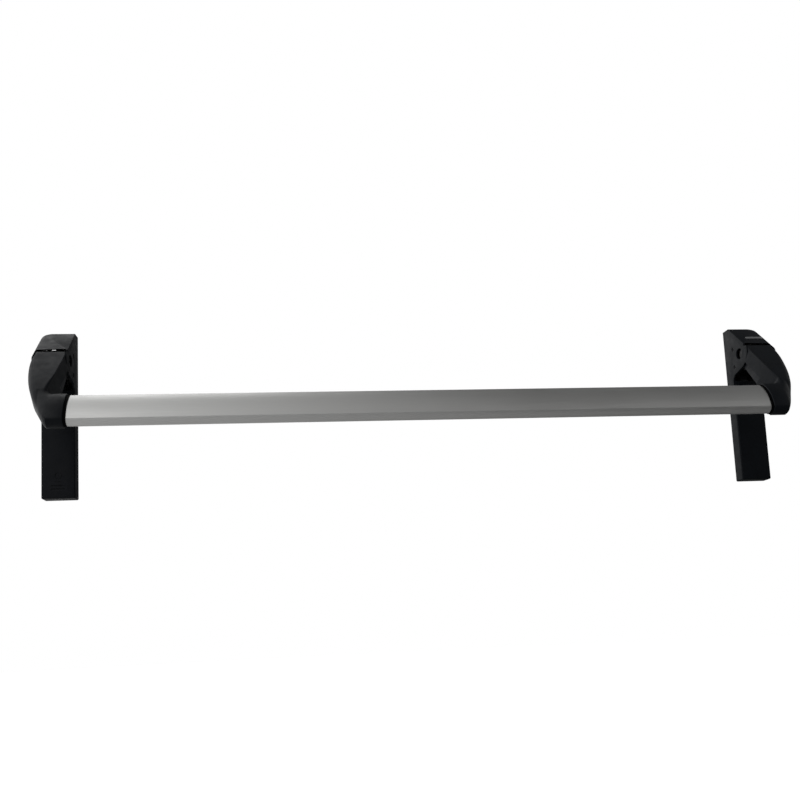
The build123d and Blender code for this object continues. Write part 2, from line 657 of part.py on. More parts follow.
STUD_HEAD_R = 2.9
STUD_HEAD_THICKNESS = 1.2
STUD_HEAD_BACK = SLIDE_FRONT + 0.3
with BuildPart() as guide_studs:
    stud_places = [(x, height) for x in (-STUD_X, STUD_X) for height in STUD_HEIGHTS]
    with BuildSketch(Plane.XZ.offset(WEB_FRONT)):
        with Locations(*stud_places):
            Circle(STUD_R)
    extrude(amount=STUD_HEAD_BACK - WEB_FRONT)
    with BuildSketch(Plane.XZ.offset(STUD_HEAD_BACK)):
        with Locations(*stud_places):
            Circle(STUD_HEAD_R)
    extrude(amount=STUD_HEAD_THICKNESS)
finish_pair(guide_studs, "guide_studs")

# ---- Follower with its pinion, spindle and bridge (left unit only) -------------------------------------
PINION_BACK = SLIDE_BACK - 0.4
PINION_THICKNESS = SLIDE_THICKNESS + 1.2
BRIDGE_BACK = PINION_BACK + PINION_THICKNESS + 0.4
BRIDGE_THICKNESS = 2.0
SPINDLE_PLAY = 0.05
SPINDLE_CHAMFER = 0.8
GROOVE_FROM_END = 8.0
GROOVE_WIDTH = 1.6

with BuildPart() as follower:
    with BuildSketch(Plane.XZ.offset(PINION_BACK)):
        Circle(PINION_R - DEDENDUM)
        for k in range(PINION_TEETH):
            with Locations(Location((0, 0, 0), (0, 0, 180 + (k + 0.5) * 360 / PINION_TEETH))):
                add(gear_tooth(PINION_TEETH))
    extrude(amount=PINION_THICKNESS)
    with BuildSketch(Plane.XZ):
        Circle(FOLLOWER_HUB_R)
    extrude(amount=BRIDGE_BACK + BRIDGE_THICKNESS)
    with BuildSketch(Plane.XZ):
        Rectangle(SPINDLE_SIDE + 2 * SPINDLE_PLAY, SPINDLE_SIDE + 2 * SPINDLE_PLAY)
    extrude(amount=COVER_DEPTH, mode=Mode.SUBTRACT)
finish(follower, "follower")

with BuildPart() as spindle:
    with BuildSketch(Plane.XZ.offset(-SPINDLE_REACH)):
        Rectangle(SPINDLE_SIDE, SPINDLE_SIDE)
    extrude(amount=SPINDLE_REACH + BRIDGE_BACK + BRIDGE_THICKNESS)
    chamfer(spindle.faces().sort_by(Axis.Y)[-1].edges(), SPINDLE_CHAMFER)
    # cross groove for the lock's retaining spring
    with BuildSketch(Plane.XY.offset(-SPINDLE_SIDE / 2)):
        with Locations((0, SPINDLE_REACH - GROOVE_FROM_END)):
            Rectangle(SPINDLE_SIDE + 1, GROOVE_WIDTH)
    extrude(amount=1, mode=Mode.SUBTRACT)
finish(spindle, "spindle")

BRIDGE_TOP = 9.6
BRIDGE_BOTTOM = -27.0
BRIDGE_LEFT = -8.6
BRIDGE_FOOT_Z = -23.5
BRIDGE_FOOT_X = 14.1
RIVET_R = 1.5
RIVET_PLACES = ((-3, BRIDGE_FOOT_Z), (9, BRIDGE_FOOT_Z))
RIVET_HEAD_THICKNESS = 1.1
with BuildPart() as follower_bridge:
    with BuildSketch(Plane.XZ.offset(BRIDGE_BACK)):
        with BuildLine():
            Polyline(
                (BRIDGE_LEFT, BRIDGE_TOP),
                (BRIDGE_FOOT_X + 1.7, BRIDGE_TOP),
                (BRIDGE_FOOT_X + 1.7, BRIDGE_BOTTOM),
                (BRIDGE_LEFT, BRIDGE_BOTTOM),
                close=True,
            )
        make_face()
        fillet(vertices(), 2)
        Circle(FOLLOWER_HUB_R + HUB_PLAY, mode=Mode.SUBTRACT)
    extrude(amount=BRIDGE_THICKNESS)
    # feet down to the base plate, beside and below the pinion
    with BuildSketch(Plane.XZ.offset(PLATE_THICKNESS)):
        with Locations((BRIDGE_FOOT_X, 0)):
            Rectangle(3.2, 14)
        with Locations((3, BRIDGE_FOOT_Z)):
            Rectangle(20, 6)
    extrude(amount=BRIDGE_BACK - PLATE_THICKNESS)
    with BuildSketch(Plane.XZ.offset(PLATE_THICKNESS)):
        with Locations(*RIVET_PLACES):
            Circle(RIVET_R)
    extrude(amount=BRIDGE_BACK + BRIDGE_THICKNESS - PLATE_THICKNESS, mode=Mode.SUBTRACT)
finish(follower_bridge, "follower_bridge")

with BuildPart() as bridge_rivets:
    with BuildSketch(Plane.XZ.offset(PLATE_THICKNESS)):
        with Locations(*RIVET_PLACES):
            Circle(RIVET_R)
    extrude(amount=BRIDGE_BACK + BRIDGE_THICKNESS - PLATE_THICKNESS)
    with BuildSketch(Plane.XZ.offset(BRIDGE_BACK + BRIDGE_THICKNESS)):
        with Locations(*RIVET_PLACES):
            Circle(2 * RIVET_R)
    extrude(amount=RIVET_HEAD_THICKNESS)
finish(bridge_rivets, "bridge_rivets")

# ---- Arm core: hub, gear sector, lever and the tongue that enters the bar ------------------------------
CORE_FRONT = -8.4           # height of the lever's front face over the arm plane
CORE_BACK = -17.4
TONGUE_END = BAR_START + 30
TONGUE_TOP = 102.6          # distances down the arm
TONGUE_BOTTOM = 124.6
SHELL_SCREW_PLACES = ((0, -30), (-1, -68))
SHELL_SCREW_R = 2.0
SHELL_SCREW_PASS = 0.2
SECTOR_HALF_WIDTH = 4.5
SECTOR_UPPER = 10.0
SECTOR_LOWER = -33.0
BAR_SCREW_X = BAR_START + 18
BAR_SCREW_R = 2.5
BAR_SCREW_TIP = 2.5         # height of the screw's tip over the middle of the bar section

with BuildPart() as arm_core:
    with BuildSketch(arm_plane(CORE_BACK)):
        with BuildLine():
            Polyline(
                (8.5, 2),
                (8.5, -45),
                (6, -84),
                (6.5, -TONGUE_TOP),
                (TONGUE_END, -TONGUE_TOP),
                (TONGUE_END, -TONGUE_BOTTOM),
                (13, -TONGUE_BOTTOM),
                (3, -106),
                (-8, -60),
                (-8.5, -45),
                (-8.5, 2),
                close=True,
            )
        make_face()
    extrude(amount=CORE_FRONT - CORE_BACK)
    with BuildSketch(Plane.YZ.offset(-HUB_HALF)):
        with Locations(PIVOT):
            Circle(HUB_R)
    extrude(amount=2 * HUB_HALF)
    # sector: a fan towards the door with four teeth
    with BuildSketch(Plane.YZ.offset(-SECTOR_HALF_WIDTH)):
        with BuildLine():
            Line(PIVOT, round_pivot(SECTOR_R - DEDENDUM, 180 - SECTOR_UPPER))
            ThreePointArc(
                round_pivot(SECTOR_R - DEDENDUM, 180 - SECTOR_UPPER),
                round_pivot(SECTOR_R - DEDENDUM, 180 - (SECTOR_UPPER + SECTOR_LOWER) / 2),
                round_pivot(SECTOR_R - DEDENDUM, 180 - SECTOR_LOWER),
            )
            Line(round_pivot(SECTOR_R - DEDENDUM, 180 - SECTOR_LOWER), PIVOT)
        make_face()
        for k in range(4):
            with Locations(Location((*PIVOT, 0), (0, 0, 6 - 12 * k))):
                add(gear_tooth(SECTOR_TEETH))
    extrude(amount=2 * SECTOR_HALF_WIDTH)
    with BuildSketch(Plane.YZ.offset(-HUB_HALF)):
        with Locations(PIVOT):
            Circle(PIN_R + BUSH_PLAY + BUSH_WALL)
    extrude(amount=2 * HUB_HALF, mode=Mode.SUBTRACT)
    with BuildSketch(arm_plane(CORE_BACK)):
        with Locations(*SHELL_SCREW_PLACES):
            Circle(SHELL_SCREW_R + SHELL_SCREW_PASS)
    extrude(amount=CORE_FRONT - CORE_BACK, mode=Mode.SUBTRACT)
    # thread of the screw that holds the bar
    with BuildSketch(bar_face_plane(BAR_SCREW_X, -OVAL_THICKNESS)):
        Circle(BAR_SCREW_R)
    extrude(amount=OVAL_THICKNESS + BAR_SCREW_TIP, mode=Mode.SUBTRACT)
finish_pair(arm_core, "arm_core")

BUSH_FLANGE_R = 6.5
BUSH_LENGTH = 9.0
BUSH_FLANGE = 1.0
with BuildPart() as pivot_bushes:
    for inner_end, flange in ((HUB_HALF - BUSH_LENGTH, HUB_HALF), (-HUB_HALF, -HUB_HALF - BUSH_FLANGE)):
        with BuildSketch(Plane.YZ.offset(inner_end)):
            with Locations(PIVOT):
                Circle(PIN_R + BUSH_PLAY + BUSH_WALL)
        extrude(amount=BUSH_LENGTH)
        with BuildSketch(Plane.YZ.offset(flange)):
            with Locations(PIVOT):
                Circle(BUSH_FLANGE_R)
        extrude(amount=BUSH_FLANGE)
    with BuildSketch(Plane.YZ.offset(-HALF_WIDTH)):
        with Locations(PIVOT):
            Circle(PIN_R + BUSH_PLAY)
    extrude(amount=UNIT_WIDTH, mode=Mode.SUBTRACT)
finish_pair(pivot_bushes, "pivot_bushes")

# ---- Arm shell: curved casing of the lever, ending in the boss round the bar's end ---------------------
ARM_INNER = HALF_WIDTH - 0.3
ARM_OUTER = -HALF_WIDTH + 0.8
STRAIGHT_END = -22.0        # the outer edge runs straight down to here, then bends in
WAIST = (-8.3, -88.0)       # where the arm's outer edge turns in under the bar
ELBOW = (11.0, -86.0)       # hollow corner between arm and boss
ELBOW_R = 4.0
FOOT_CORNER = (17.0, -139.5)
FOOT_CORNER_R = 14.0
ROOT_R = EAR_R + 0.4        # the root clears ears and hub
ROOT_TOP = 31.0             # angle of the root's upper face
ROOT_FACE_R = 16.9
ARM_BULGE = 1.8
CHEEK_GAP = 0.6
BOSS_HEIGHT = -0.4          # front face over the arm plane at the bar
SIDE_CUT_HEIGHT = -15.5     # below this the arm beside the inner cheek is cut away
INSIDE_X = WALL_INSIDE - ARM_CLEARANCE
BOSS_DISTANCE = 113.6       # from the lip to the middle of the bar section, down the arm
ROOT_BACK = -91.5
EAR_SWEEP_R = 20.2
EAR_SWEEP_START = -40.0
CHANNEL_END = 86.0
SOCKET_PLAY = 0.05
SHELL_SCREW_TIP = -1.8

with BuildPart() as arm_shell:
    # side profile
    with BuildSketch(Plane.YZ.offset(-HALF_WIDTH)):
        with BuildLine():
            Line(round_pivot(ROOT_R, ROOT_TOP), round_pivot(ROOT_FACE_R, ROOT_TOP))
            ThreePointArc(
                round_pivot(ROOT_FACE_R, ROOT_TOP),
                along_arm(BOSS_DISTANCE / 2, ARM_BULGE),
                along_arm(BOSS_DISTANCE, BOSS_HEIGHT),
            )
            Polyline(
                along_arm(BOSS_DISTANCE, BOSS_HEIGHT),
                along_arm(BOSS_DISTANCE, -ARM_THICKNESS),
                round_pivot(ROOT_R, ROOT_BACK),
            )
            ThreePointArc(
                round_pivot(ROOT_R, ROOT_BACK),
                round_pivot(ROOT_R, (ROOT_TOP + ROOT_BACK) / 2),
                round_pivot(ROOT_R, ROOT_TOP),
            )
        make_face()
    extrude(amount=UNIT_WIDTH)
    with BuildSketch(bar_plane(-HALF_WIDTH)):
        add(oval(BOSS_GROW))
    extrude(amount=HALF_WIDTH + BOSS_END)
    # front outline: straight beside the hood, then curving in under the bar
    with BuildSketch(arm_plane(-50)):
        with BuildLine():
            outer_upper = TangentArc((ARM_OUTER, STRAIGHT_END), WAIST, tangent=(0, -1))
            TangentArc(WAIST, FOOT_CORNER, tangent=outer_upper % 1)
            Polyline(FOOT_CORNER, (BOSS_END, FOOT_CORNER[1]), (BOSS_END, ELBOW[1]), ELBOW)
            ThreePointArc(ELBOW, (17.2, -45), (ARM_INNER, 2))
            Polyline((ARM_INNER, 2), (ARM_INNER, 20), (ARM_OUTER, 20), (ARM_OUTER, STRAIGHT_END))
        make_face()
        fillet(vertices().sort_by_distance(FOOT_CORNER)[0], FOOT_CORNER_R)
        fillet(vertices().sort_by_distance(ELBOW)[0], ELBOW_R)
    extrude(amount=100, mode=Mode.INTERSECT)
    # beside the cheeks the arm starts outside their round edges, and only near its front
    for cut_start in (INSIDE_X, -HALF_WIDTH):
        with BuildSketch(Plane.YZ.offset(cut_start)):
            with Locations(PIVOT):
                Circle(CHEEK_R + CHEEK_GAP)
            with BuildLine():
                Polyline(
                    along_arm(-30, SIDE_CUT_HEIGHT),
                    along_arm(60, SIDE_CUT_HEIGHT),
                    along_arm(60, -60),
                    along_arm(-30, -60),
                    close=True,
                )
            make_face()
        extrude(amount=HALF_WIDTH - INSIDE_X, mode=Mode.SUBTRACT)
    # room for the ears' lower edges as the arm swings in
    for sweep_start in (EAR_INNER - ARM_CLEARANCE, -EAR_OUTER - ARM_CLEARANCE):
        with BuildSketch(Plane.YZ.offset(sweep_start)):
            with BuildLine():
                Line(PIVOT, round_pivot(EAR_SWEEP_R, EAR_SWEEP_START))
                ThreePointArc(
                    round_pivot(EAR_SWEEP_R, EAR_SWEEP_START),
                    round_pivot(EAR_SWEEP_R, EAR_SWEEP_START - 40),
                    round_pivot(EAR_SWEEP_R, EAR_SWEEP_START - 80),
                )
                Line(round_pivot(EAR_SWEEP_R, EAR_SWEEP_START - 80), PIVOT)
            make_face()
        extrude(amount=EAR_THICKNESS + 2 * ARM_CLEARANCE, mode=Mode.SUBTRACT)
    # channel of the lever, open at the back and at the root
    with BuildSketch(arm_plane(-60)):
        with BuildLine():
            Polyline((13.4, 20), (-13.4, 20), (-13.4, -5))
            ThreePointArc((-13.4, -5), (-11.2, -47), (-5.8, -CHANNEL_END))
            Line((-5.8, -CHANNEL_END), (7, -CHANNEL_END))
            ThreePointArc((7, -CHANNEL_END), (11.8, -50), (13.4, -10))
            Line((13.4, -10), (13.4, 20))
        make_face()
    extrude(amount=60 - ARM_WALL + BOSS_HEIGHT, mode=Mode.SUBTRACT)
    # pocket that leads the lever through the elbow, and the socket of the bar's end
    with BuildSketch(arm_plane(CORE_BACK - 0.5)):
        with BuildLine():
            Polyline(
                (7, 1 - CHANNEL_END),
                (7, 0.5 - TONGUE_TOP),
                (BAR_START - BAR_INSERT, 0.5 - TONGUE_TOP),
                (BAR_START - BAR_INSERT, -0.5 - TONGUE_BOTTOM),
                (12.6, -0.5 - TONGUE_BOTTOM),
                (2, -106),
                (-4.8, 1 - CHANNEL_END),
                close=True,
            )
        make_face()
    extrude(amount=CORE_FRONT - CORE_BACK + 1, mode=Mode.SUBTRACT)
    with BuildSketch(bar_plane(BAR_START - BAR_INSERT - 0.3)):
        add(oval(SOCKET_PLAY))
    extrude(amount=BAR_INSERT, mode=Mode.SUBTRACT)
    # pillars and threads of the two screws that hold the lever
    with BuildSketch(arm_plane(CORE_FRONT)):
        with Locations(*SHELL_SCREW_PLACES):
            Circle(2 * SHELL_SCREW_R)
    extrude(amount=-ARM_WALL - CORE_FRONT)
    with BuildSketch(arm_plane(CORE_FRONT)):
        with Locations(*SHELL_SCREW_PLACES):
            Circle(SHELL_SCREW_R)
    extrude(amount=SHELL_SCREW_TIP - CORE_FRONT, mode=Mode.SUBTRACT)
finish_pair(arm_shell, "arm_shell")

SHELL_HEAD_R = 3.6
SHELL_HEAD_THICKNESS = 2.4
SHELL_SOCKET = 1.6
SHELL_SOCKET_DEPTH = 1.4
with BuildPart() as shell_screws:
    with BuildSketch(arm_plane(CORE_BACK)):
        with Locations(*SHELL_SCREW_PLACES):
            Circle(SHELL_SCREW_R)
    extrude(amount=SHELL_SCREW_TIP - CORE_BACK)
    with BuildSketch(arm_plane(CORE_BACK - SHELL_HEAD_THICKNESS)):
        with Locations(*SHELL_SCREW_PLACES):
            Circle(SHELL_HEAD_R)
    extrude(amount=SHELL_HEAD_THICKNESS)
    with BuildSketch(arm_plane(CORE_BACK - SHELL_HEAD_THICKNESS)):
        with Locations(*SHELL_SCREW_PLACES):
            RegularPolygon(SHELL_SOCKET, 6)
    extrude(amount=SHELL_SOCKET_DEPTH, mode=Mode.SUBTRACT)
finish_pair(shell_screws, "shell_screws")

# ---- Push bar: tube, seam rings, end plugs and the screws that hold it to the levers --------------------
with BuildPart() as seam_ring:
    with BuildSketch(bar_plane(BOSS_END)):
        add(oval(RING_GROW))
        add(oval(0), mode=Mode.SUBTRACT)
    extrude(amount=RING_LENGTH)
finish_pair(seam_ring, "seam_ring")

TUBE_START = BAR_START - BAR_INSERT
SCREW_PASS = 0.2
with BuildPart() as bar_tube:
    with BuildSketch(bar_plane(TUBE_START)):
        add(oval(0))
        add(oval(-BAR_WALL), mode=Mode.SUBTRACT)
    extrude(amount=SPACING - 2 * TUBE_START)
    for x in (BAR_SCREW_X, SPACING - BAR_SCREW_X):
        with BuildSketch(bar_face_plane(x, -OVAL_THICKNESS)):
            Circle(BAR_SCREW_R + SCREW_PASS)
        extrude(amount=OVAL_THICKNESS, mode=Mode.SUBTRACT)
finish(bar_tube, "bar_tube")

PLUG_LENGTH = 40.0
with BuildPart() as bar_plug:
    with BuildSketch(bar_plane(TUBE_START)):
        add(oval(-BAR_WALL - SOCKET_PLAY))
    extrude(amount=PLUG_LENGTH)
    with BuildSketch(arm_plane(CORE_BACK - SOCKET_PLAY)):
        with Locations((TUBE_START + PLUG_LENGTH / 2, -(TONGUE_TOP + TONGUE_BOTTOM) / 2)):
            Rectangle(PLUG_LENGTH + 2, TONGUE_BOTTOM - TONGUE_TOP + 2 * SOCKET_PLAY)
    extrude(amount=CORE_FRONT - CORE_BACK + 2 * SOCKET_PLAY, mode=Mode.SUBTRACT)
    with BuildSketch(bar_face_plane(BAR_SCREW_X, -OVAL_THICKNESS)):
        Circle(BAR_SCREW_R + SCREW_PASS)
    extrude(amount=OVAL_THICKNESS, mode=Mode.SUBTRACT)
finish_pair(bar_plug, "bar_plug")

BAR_SCREW_HEAD = 2.4
BAR_SCREW_HEAD_R = 4.6
BAR_SCREW_SOCKET = 1.9
BAR_SCREW_SOCKET_DEPTH = 1.5
with BuildPart() as bar_screw:
    with BuildSketch(bar_face_plane(BAR_SCREW_X, -OVAL_THICKNESS / 2)):
        Circle(BAR_SCREW_R)
    extrude(amount=OVAL_THICKNESS / 2 + BAR_SCREW_TIP)
    with BuildSketch(bar_face_plane(BAR_SCREW_X, -OVAL_THICKNESS / 2 - BAR_SCREW_HEAD)):
        Circle(BAR_SCREW_HEAD_R)
    extrude(amount=BAR_SCREW_HEAD)
    with BuildSketch(bar_face_plane(BAR_SCREW_X, -OVAL_THICKNESS / 2 - BAR_SCREW_HEAD)):
        RegularPolygon(BAR_SCREW_SOCKET, 6)
    extrude(amount=BAR_SCREW_SOCKET_DEPTH, mode=Mode.SUBTRACT)
finish_pair(bar_screw, "bar_screw")
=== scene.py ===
import json
from math import atan2, cos, degrees, hypot, pi, radians, sin, sqrt, tan

import bmesh
import bpy
from mathutils import Matrix, Vector


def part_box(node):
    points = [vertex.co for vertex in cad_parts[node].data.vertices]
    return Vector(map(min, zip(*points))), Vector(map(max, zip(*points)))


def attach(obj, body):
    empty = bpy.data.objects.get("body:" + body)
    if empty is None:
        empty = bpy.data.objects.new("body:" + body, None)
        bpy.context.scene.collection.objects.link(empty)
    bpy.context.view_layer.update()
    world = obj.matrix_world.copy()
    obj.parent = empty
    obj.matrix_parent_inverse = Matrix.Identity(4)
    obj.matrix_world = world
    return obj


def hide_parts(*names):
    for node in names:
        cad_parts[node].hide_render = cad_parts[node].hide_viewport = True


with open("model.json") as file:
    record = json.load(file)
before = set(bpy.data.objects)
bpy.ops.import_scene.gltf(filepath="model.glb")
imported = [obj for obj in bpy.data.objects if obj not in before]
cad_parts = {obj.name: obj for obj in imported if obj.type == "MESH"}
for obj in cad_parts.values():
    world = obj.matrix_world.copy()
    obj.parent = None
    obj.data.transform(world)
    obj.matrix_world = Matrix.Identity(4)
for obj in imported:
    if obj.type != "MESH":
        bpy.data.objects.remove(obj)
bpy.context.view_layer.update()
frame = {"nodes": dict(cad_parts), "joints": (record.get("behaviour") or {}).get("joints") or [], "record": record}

MM = 0.001

# ---- Places and sizes, in millimetres unless a name says otherwise ----------------------------
# Depth is the distance in front of the door face. The left unit is modelled, the right one is its mirror.
left_low, left_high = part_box("left_base_plate")
right_low, right_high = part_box("right_base_plate")
SPACING = (right_low.x + right_high.x - left_low.x - left_high.x) / 2 / MM
hood_low, hood_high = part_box("left_hood")
cover_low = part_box("left_lower_cover")[0]
HALF_WIDTH = (hood_high.x - hood_low.x) / 2 / MM
UNIT_TOP = hood_high.z / MM
SEAM_Z = hood_low.z / MM
UNIT_BOTTOM = cover_low.z / MM
COVER_DEPTH = -cover_low.y / MM
screw_low, screw_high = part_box("left_foot_screw")
FOOT_SCREW_DEPTH = -(screw_low.y + screw_high.y) / 2 / MM
SHELL_WALL = 2.2
WALL_INSIDE = HALF_WIDTH - SHELL_WALL

PIVOT_DEPTH = -frame["joints"][0]["pos_m"][1] / MM
PIVOT_Z = frame["joints"][0]["pos_m"][2] / MM
HOOD_TOP_DEPTH = 14.5
HOOD_CORNER_R = 14.0
HOOD_SIDE_R = 6.0           # soft edge between the facet and the outer side
LIP_DEPTH = 51.0
LIP_Z = 116.0
LIP_RISE = 1.2              # how much higher the lip ends at the inner side
LIP_FOOT = (50.4, 113.0)    # (depth, height) where the lip meets the cheek's front
CHEEK_R = 20.7
CHEEK_MEET = 14.0           # the cheek's round edge runs between these two angles round the pivot
CHEEK_LEAVE = -78.0
CHEEK_BEND_R = 9.0
CAVITY_FRONT_Z = 74.0       # the cavity is open to the front above this height
PIN_WINDOW_R = 7.2
CHEEK_SCREW_R = 2.6
CHEEK_SCREWS = ((22.5, 116.5), (23.6, 91.7))
COVER_EDGE_R = 1.8
FOOT_SCREW_R = 1.55
FOOT_HEAD_R = 2.95
FOOT_HEAD_DEPTH = 1.4

ring_low, ring_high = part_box("left_seam_ring")
BAR_DEPTH = -(ring_low.y + ring_high.y) / 2 / MM
BAR_Z = (ring_low.z + ring_high.z) / 2 / MM
BOSS_END = ring_low.x / MM
BAR_TILT = radians(55.0)
OVAL_LENGTH = 45.4
OVAL_THICKNESS = 20.8
OVAL_CROWN_R = 51.0
OVAL_END_R = 8.7
BOSS_GROW = 2.0
BOSS_RIM_R = 0.8
SOCKET_LENGTH = 9.3
SOCKET_PLAY = 0.05
ARM_TILT = radians(48.5)
ARM_THICKNESS = 25.5
ARM_WALL = 3.4
HUB_ROOM_R = 13.9
ROOT_ANGLE = 34.0           # where the arm's root ends below the lip, degrees round the pivot
ROOT_TURN = 11.5            # how much lower the root ends at the inner side, degrees

MARK_DEPTH = 0.9
MARK_RING = (28.5, 4.4, 3.4)                                    # (above the foot, radius, inner radius)
MARK_BARS = ((21, 8, 1.7), (16.2, 18, 1.9), (11.8, 18, 1.9))    # (above the foot, length, height)
BEYOND = 1.0                # how far a cutting solid reaches past the face that it opens
FAR = 200.0                 # past every face of the unit


def place(x, depth, height):
    """Row position, in metres, of a point given in the unit's millimetres."""
    return Vector((x * MM, -depth * MM, height * MM))


def on_arm(x, down, proud):
    """Row position from the distance down the arm from the lip and the height over the arm's slope."""
    depth = LIP_DEPTH + down * cos(ARM_TILT) + proud * sin(ARM_TILT)
    return place(x, depth, LIP_Z - 1 - down * sin(ARM_TILT) + proud * cos(ARM_TILT))


def round_pivot(radius, angle):
    """(depth, height) round the pivot; angle 0 points away from the door, 90 up."""
    return (PIVOT_DEPTH + radius * cos(radians(angle)), PIVOT_Z + radius * sin(radians(angle)))


def arc(centre, radius, start, end, steps):
    """Points of an arc in a plane, angles in degrees."""
    points = []
    for i in range(steps + 1):
        angle = radians(start + (end - start) * i / steps)
        points.append((centre[0] + radius * cos(angle), centre[1] + radius * sin(angle)))
    return points


def circle(centre, radius, steps=48):
    """Points of a whole circle in a plane."""
    return arc(centre, radius, 0, 360 - 360 / steps, steps - 1)


def smooth_step(value):
    """Eases from 0 to 1 as the value does."""
    value = min(1.0, max(0.0, value))
    return value * value * (3 - 2 * value)


def look_up(pairs, key):
    """Value at a key, between the (key, value) pairs of a rising list."""
    for (low, first), (high, second) in zip(pairs, pairs[1:]):
        if key <= high:
            return first + (second - first) * (key - low) / (high - low)
    return pairs[-1][1]


# ---- Mesh helpers -----------------------------------------------------------------------------
def make_object(name, mesh_source):
    """A linked object from a bmesh, which is freed."""
    mesh = bpy.data.meshes.new(name)
    bmesh.ops.recalc_face_normals(mesh_source, faces=mesh_source.faces)
    mesh_source.to_mesh(mesh)
    mesh_source.free()
    made = bpy.data.objects.new(name, mesh)
    bpy.context.scene.collection.objects.link(made)
    return made


def skin(name, loops):
    """A closed solid through loops of row positions, all with the same number of points."""
    bm = bmesh.new()
    rings = [[bm.verts.new(point) for point in loop] for loop in loops]
    for first, second in zip(rings, rings[1:]):
        for i in range(len(first)):
            j = (i + 1) % len(first)
            bm.faces.new((first[i], first[j], second[j], second[i]))
    bm.faces.new(rings[0])
    bm.faces.new(rings[-1])
    return make_object(name, bm)


def prism(name, outline, low, high, to_row):
    """A closed prism: outline points (a, b) swept from low to high, each placed by to_row(a, b, level)."""
    return skin(name, [[to_row(a, b, level) for a, b in outline] for level in (low, high)])


def across(depth, height, x):
    """Places a side-view outline at x."""
    return place(x, depth, height)


def forward(x, height, depth):
    """Places a front-view outline at a depth."""
    return place(x, depth, height)


def past_root(radius, angle, x):
    """Places an outline round the pivot that turns downwards from the outer side to the inner one."""
    turn = ROOT_TURN * (x + HALF_WIDTH) / (2 * HALF_WIDTH)
    return across(*round_pivot(radius, angle - turn), x)


def apply_modifiers(piece):
    """Replaces the piece's mesh with what its modifiers make of it."""
    bpy.context.view_layer.update()
    depsgraph = bpy.context.evaluated_depsgraph_get()
    mesh = bpy.data.meshes.new_from_object(piece.evaluated_get(depsgraph))
    piece.modifiers.clear()
    piece.data = mesh


def bevel(piece, width, segments=3, angle=32):
    """Rounds the piece's edges."""
    modifier = piece.modifiers.new("round_edges", "BEVEL")
    modifier.width = width * MM
    modifier.segments = segments
    modifier.limit_method = "ANGLE"
    modifier.angle_limit = radians(angle)
    modifier.miter_outer = "MITER_ARC"
    apply_modifiers(piece)


def combine(piece, tool, operation="DIFFERENCE"):
    """Boolean of two closed meshes. The tool is removed."""
    modifier = piece.modifiers.new("cut", "BOOLEAN")
    modifier.operation = operation
    modifier.solver = "EXACT"
    modifier.object = tool
    apply_modifiers(piece)
    bpy.data.objects.remove(tool)


def shade(piece, angle=28):
    """Smooth shading between faces that meet at less than this angle."""
    bm = bmesh.new()
    bm.from_mesh(piece.data)
    bmesh.ops.remove_doubles(bm, verts=bm.verts, dist=0.00001)
    bmesh.ops.dissolve_degenerate(bm, edges=bm.edges, dist=0.00001)
    bm.to_mesh(piece.data)
    bm.free()
    piece.data.polygons.foreach_set("use_smooth", [True] * len(piece.data.polygons))
    piece.data.set_sharp_from_angle(angle=radians(angle))


def mirrored(piece, name):
    """The same piece on the right unit."""
    twin = bpy.data.objects.new(name, piece.data.copy())
    bpy.context.scene.collection.objects.link(twin)
    twin.data.transform(Matrix.Translation((SPACING * MM, 0, 0)) @ Matrix.Scale(-1, 4, (1, 0, 0)))
    twin.data.flip_normals()
    return twin


def settle(piece, body, slot, *nodes):
    """Material, body, slot and the CAD nodes that the piece stands for."""
    piece.data.materials.clear()
    piece.data.materials.append(MATERIALS[slot])
    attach(piece, body)
    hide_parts(*nodes)


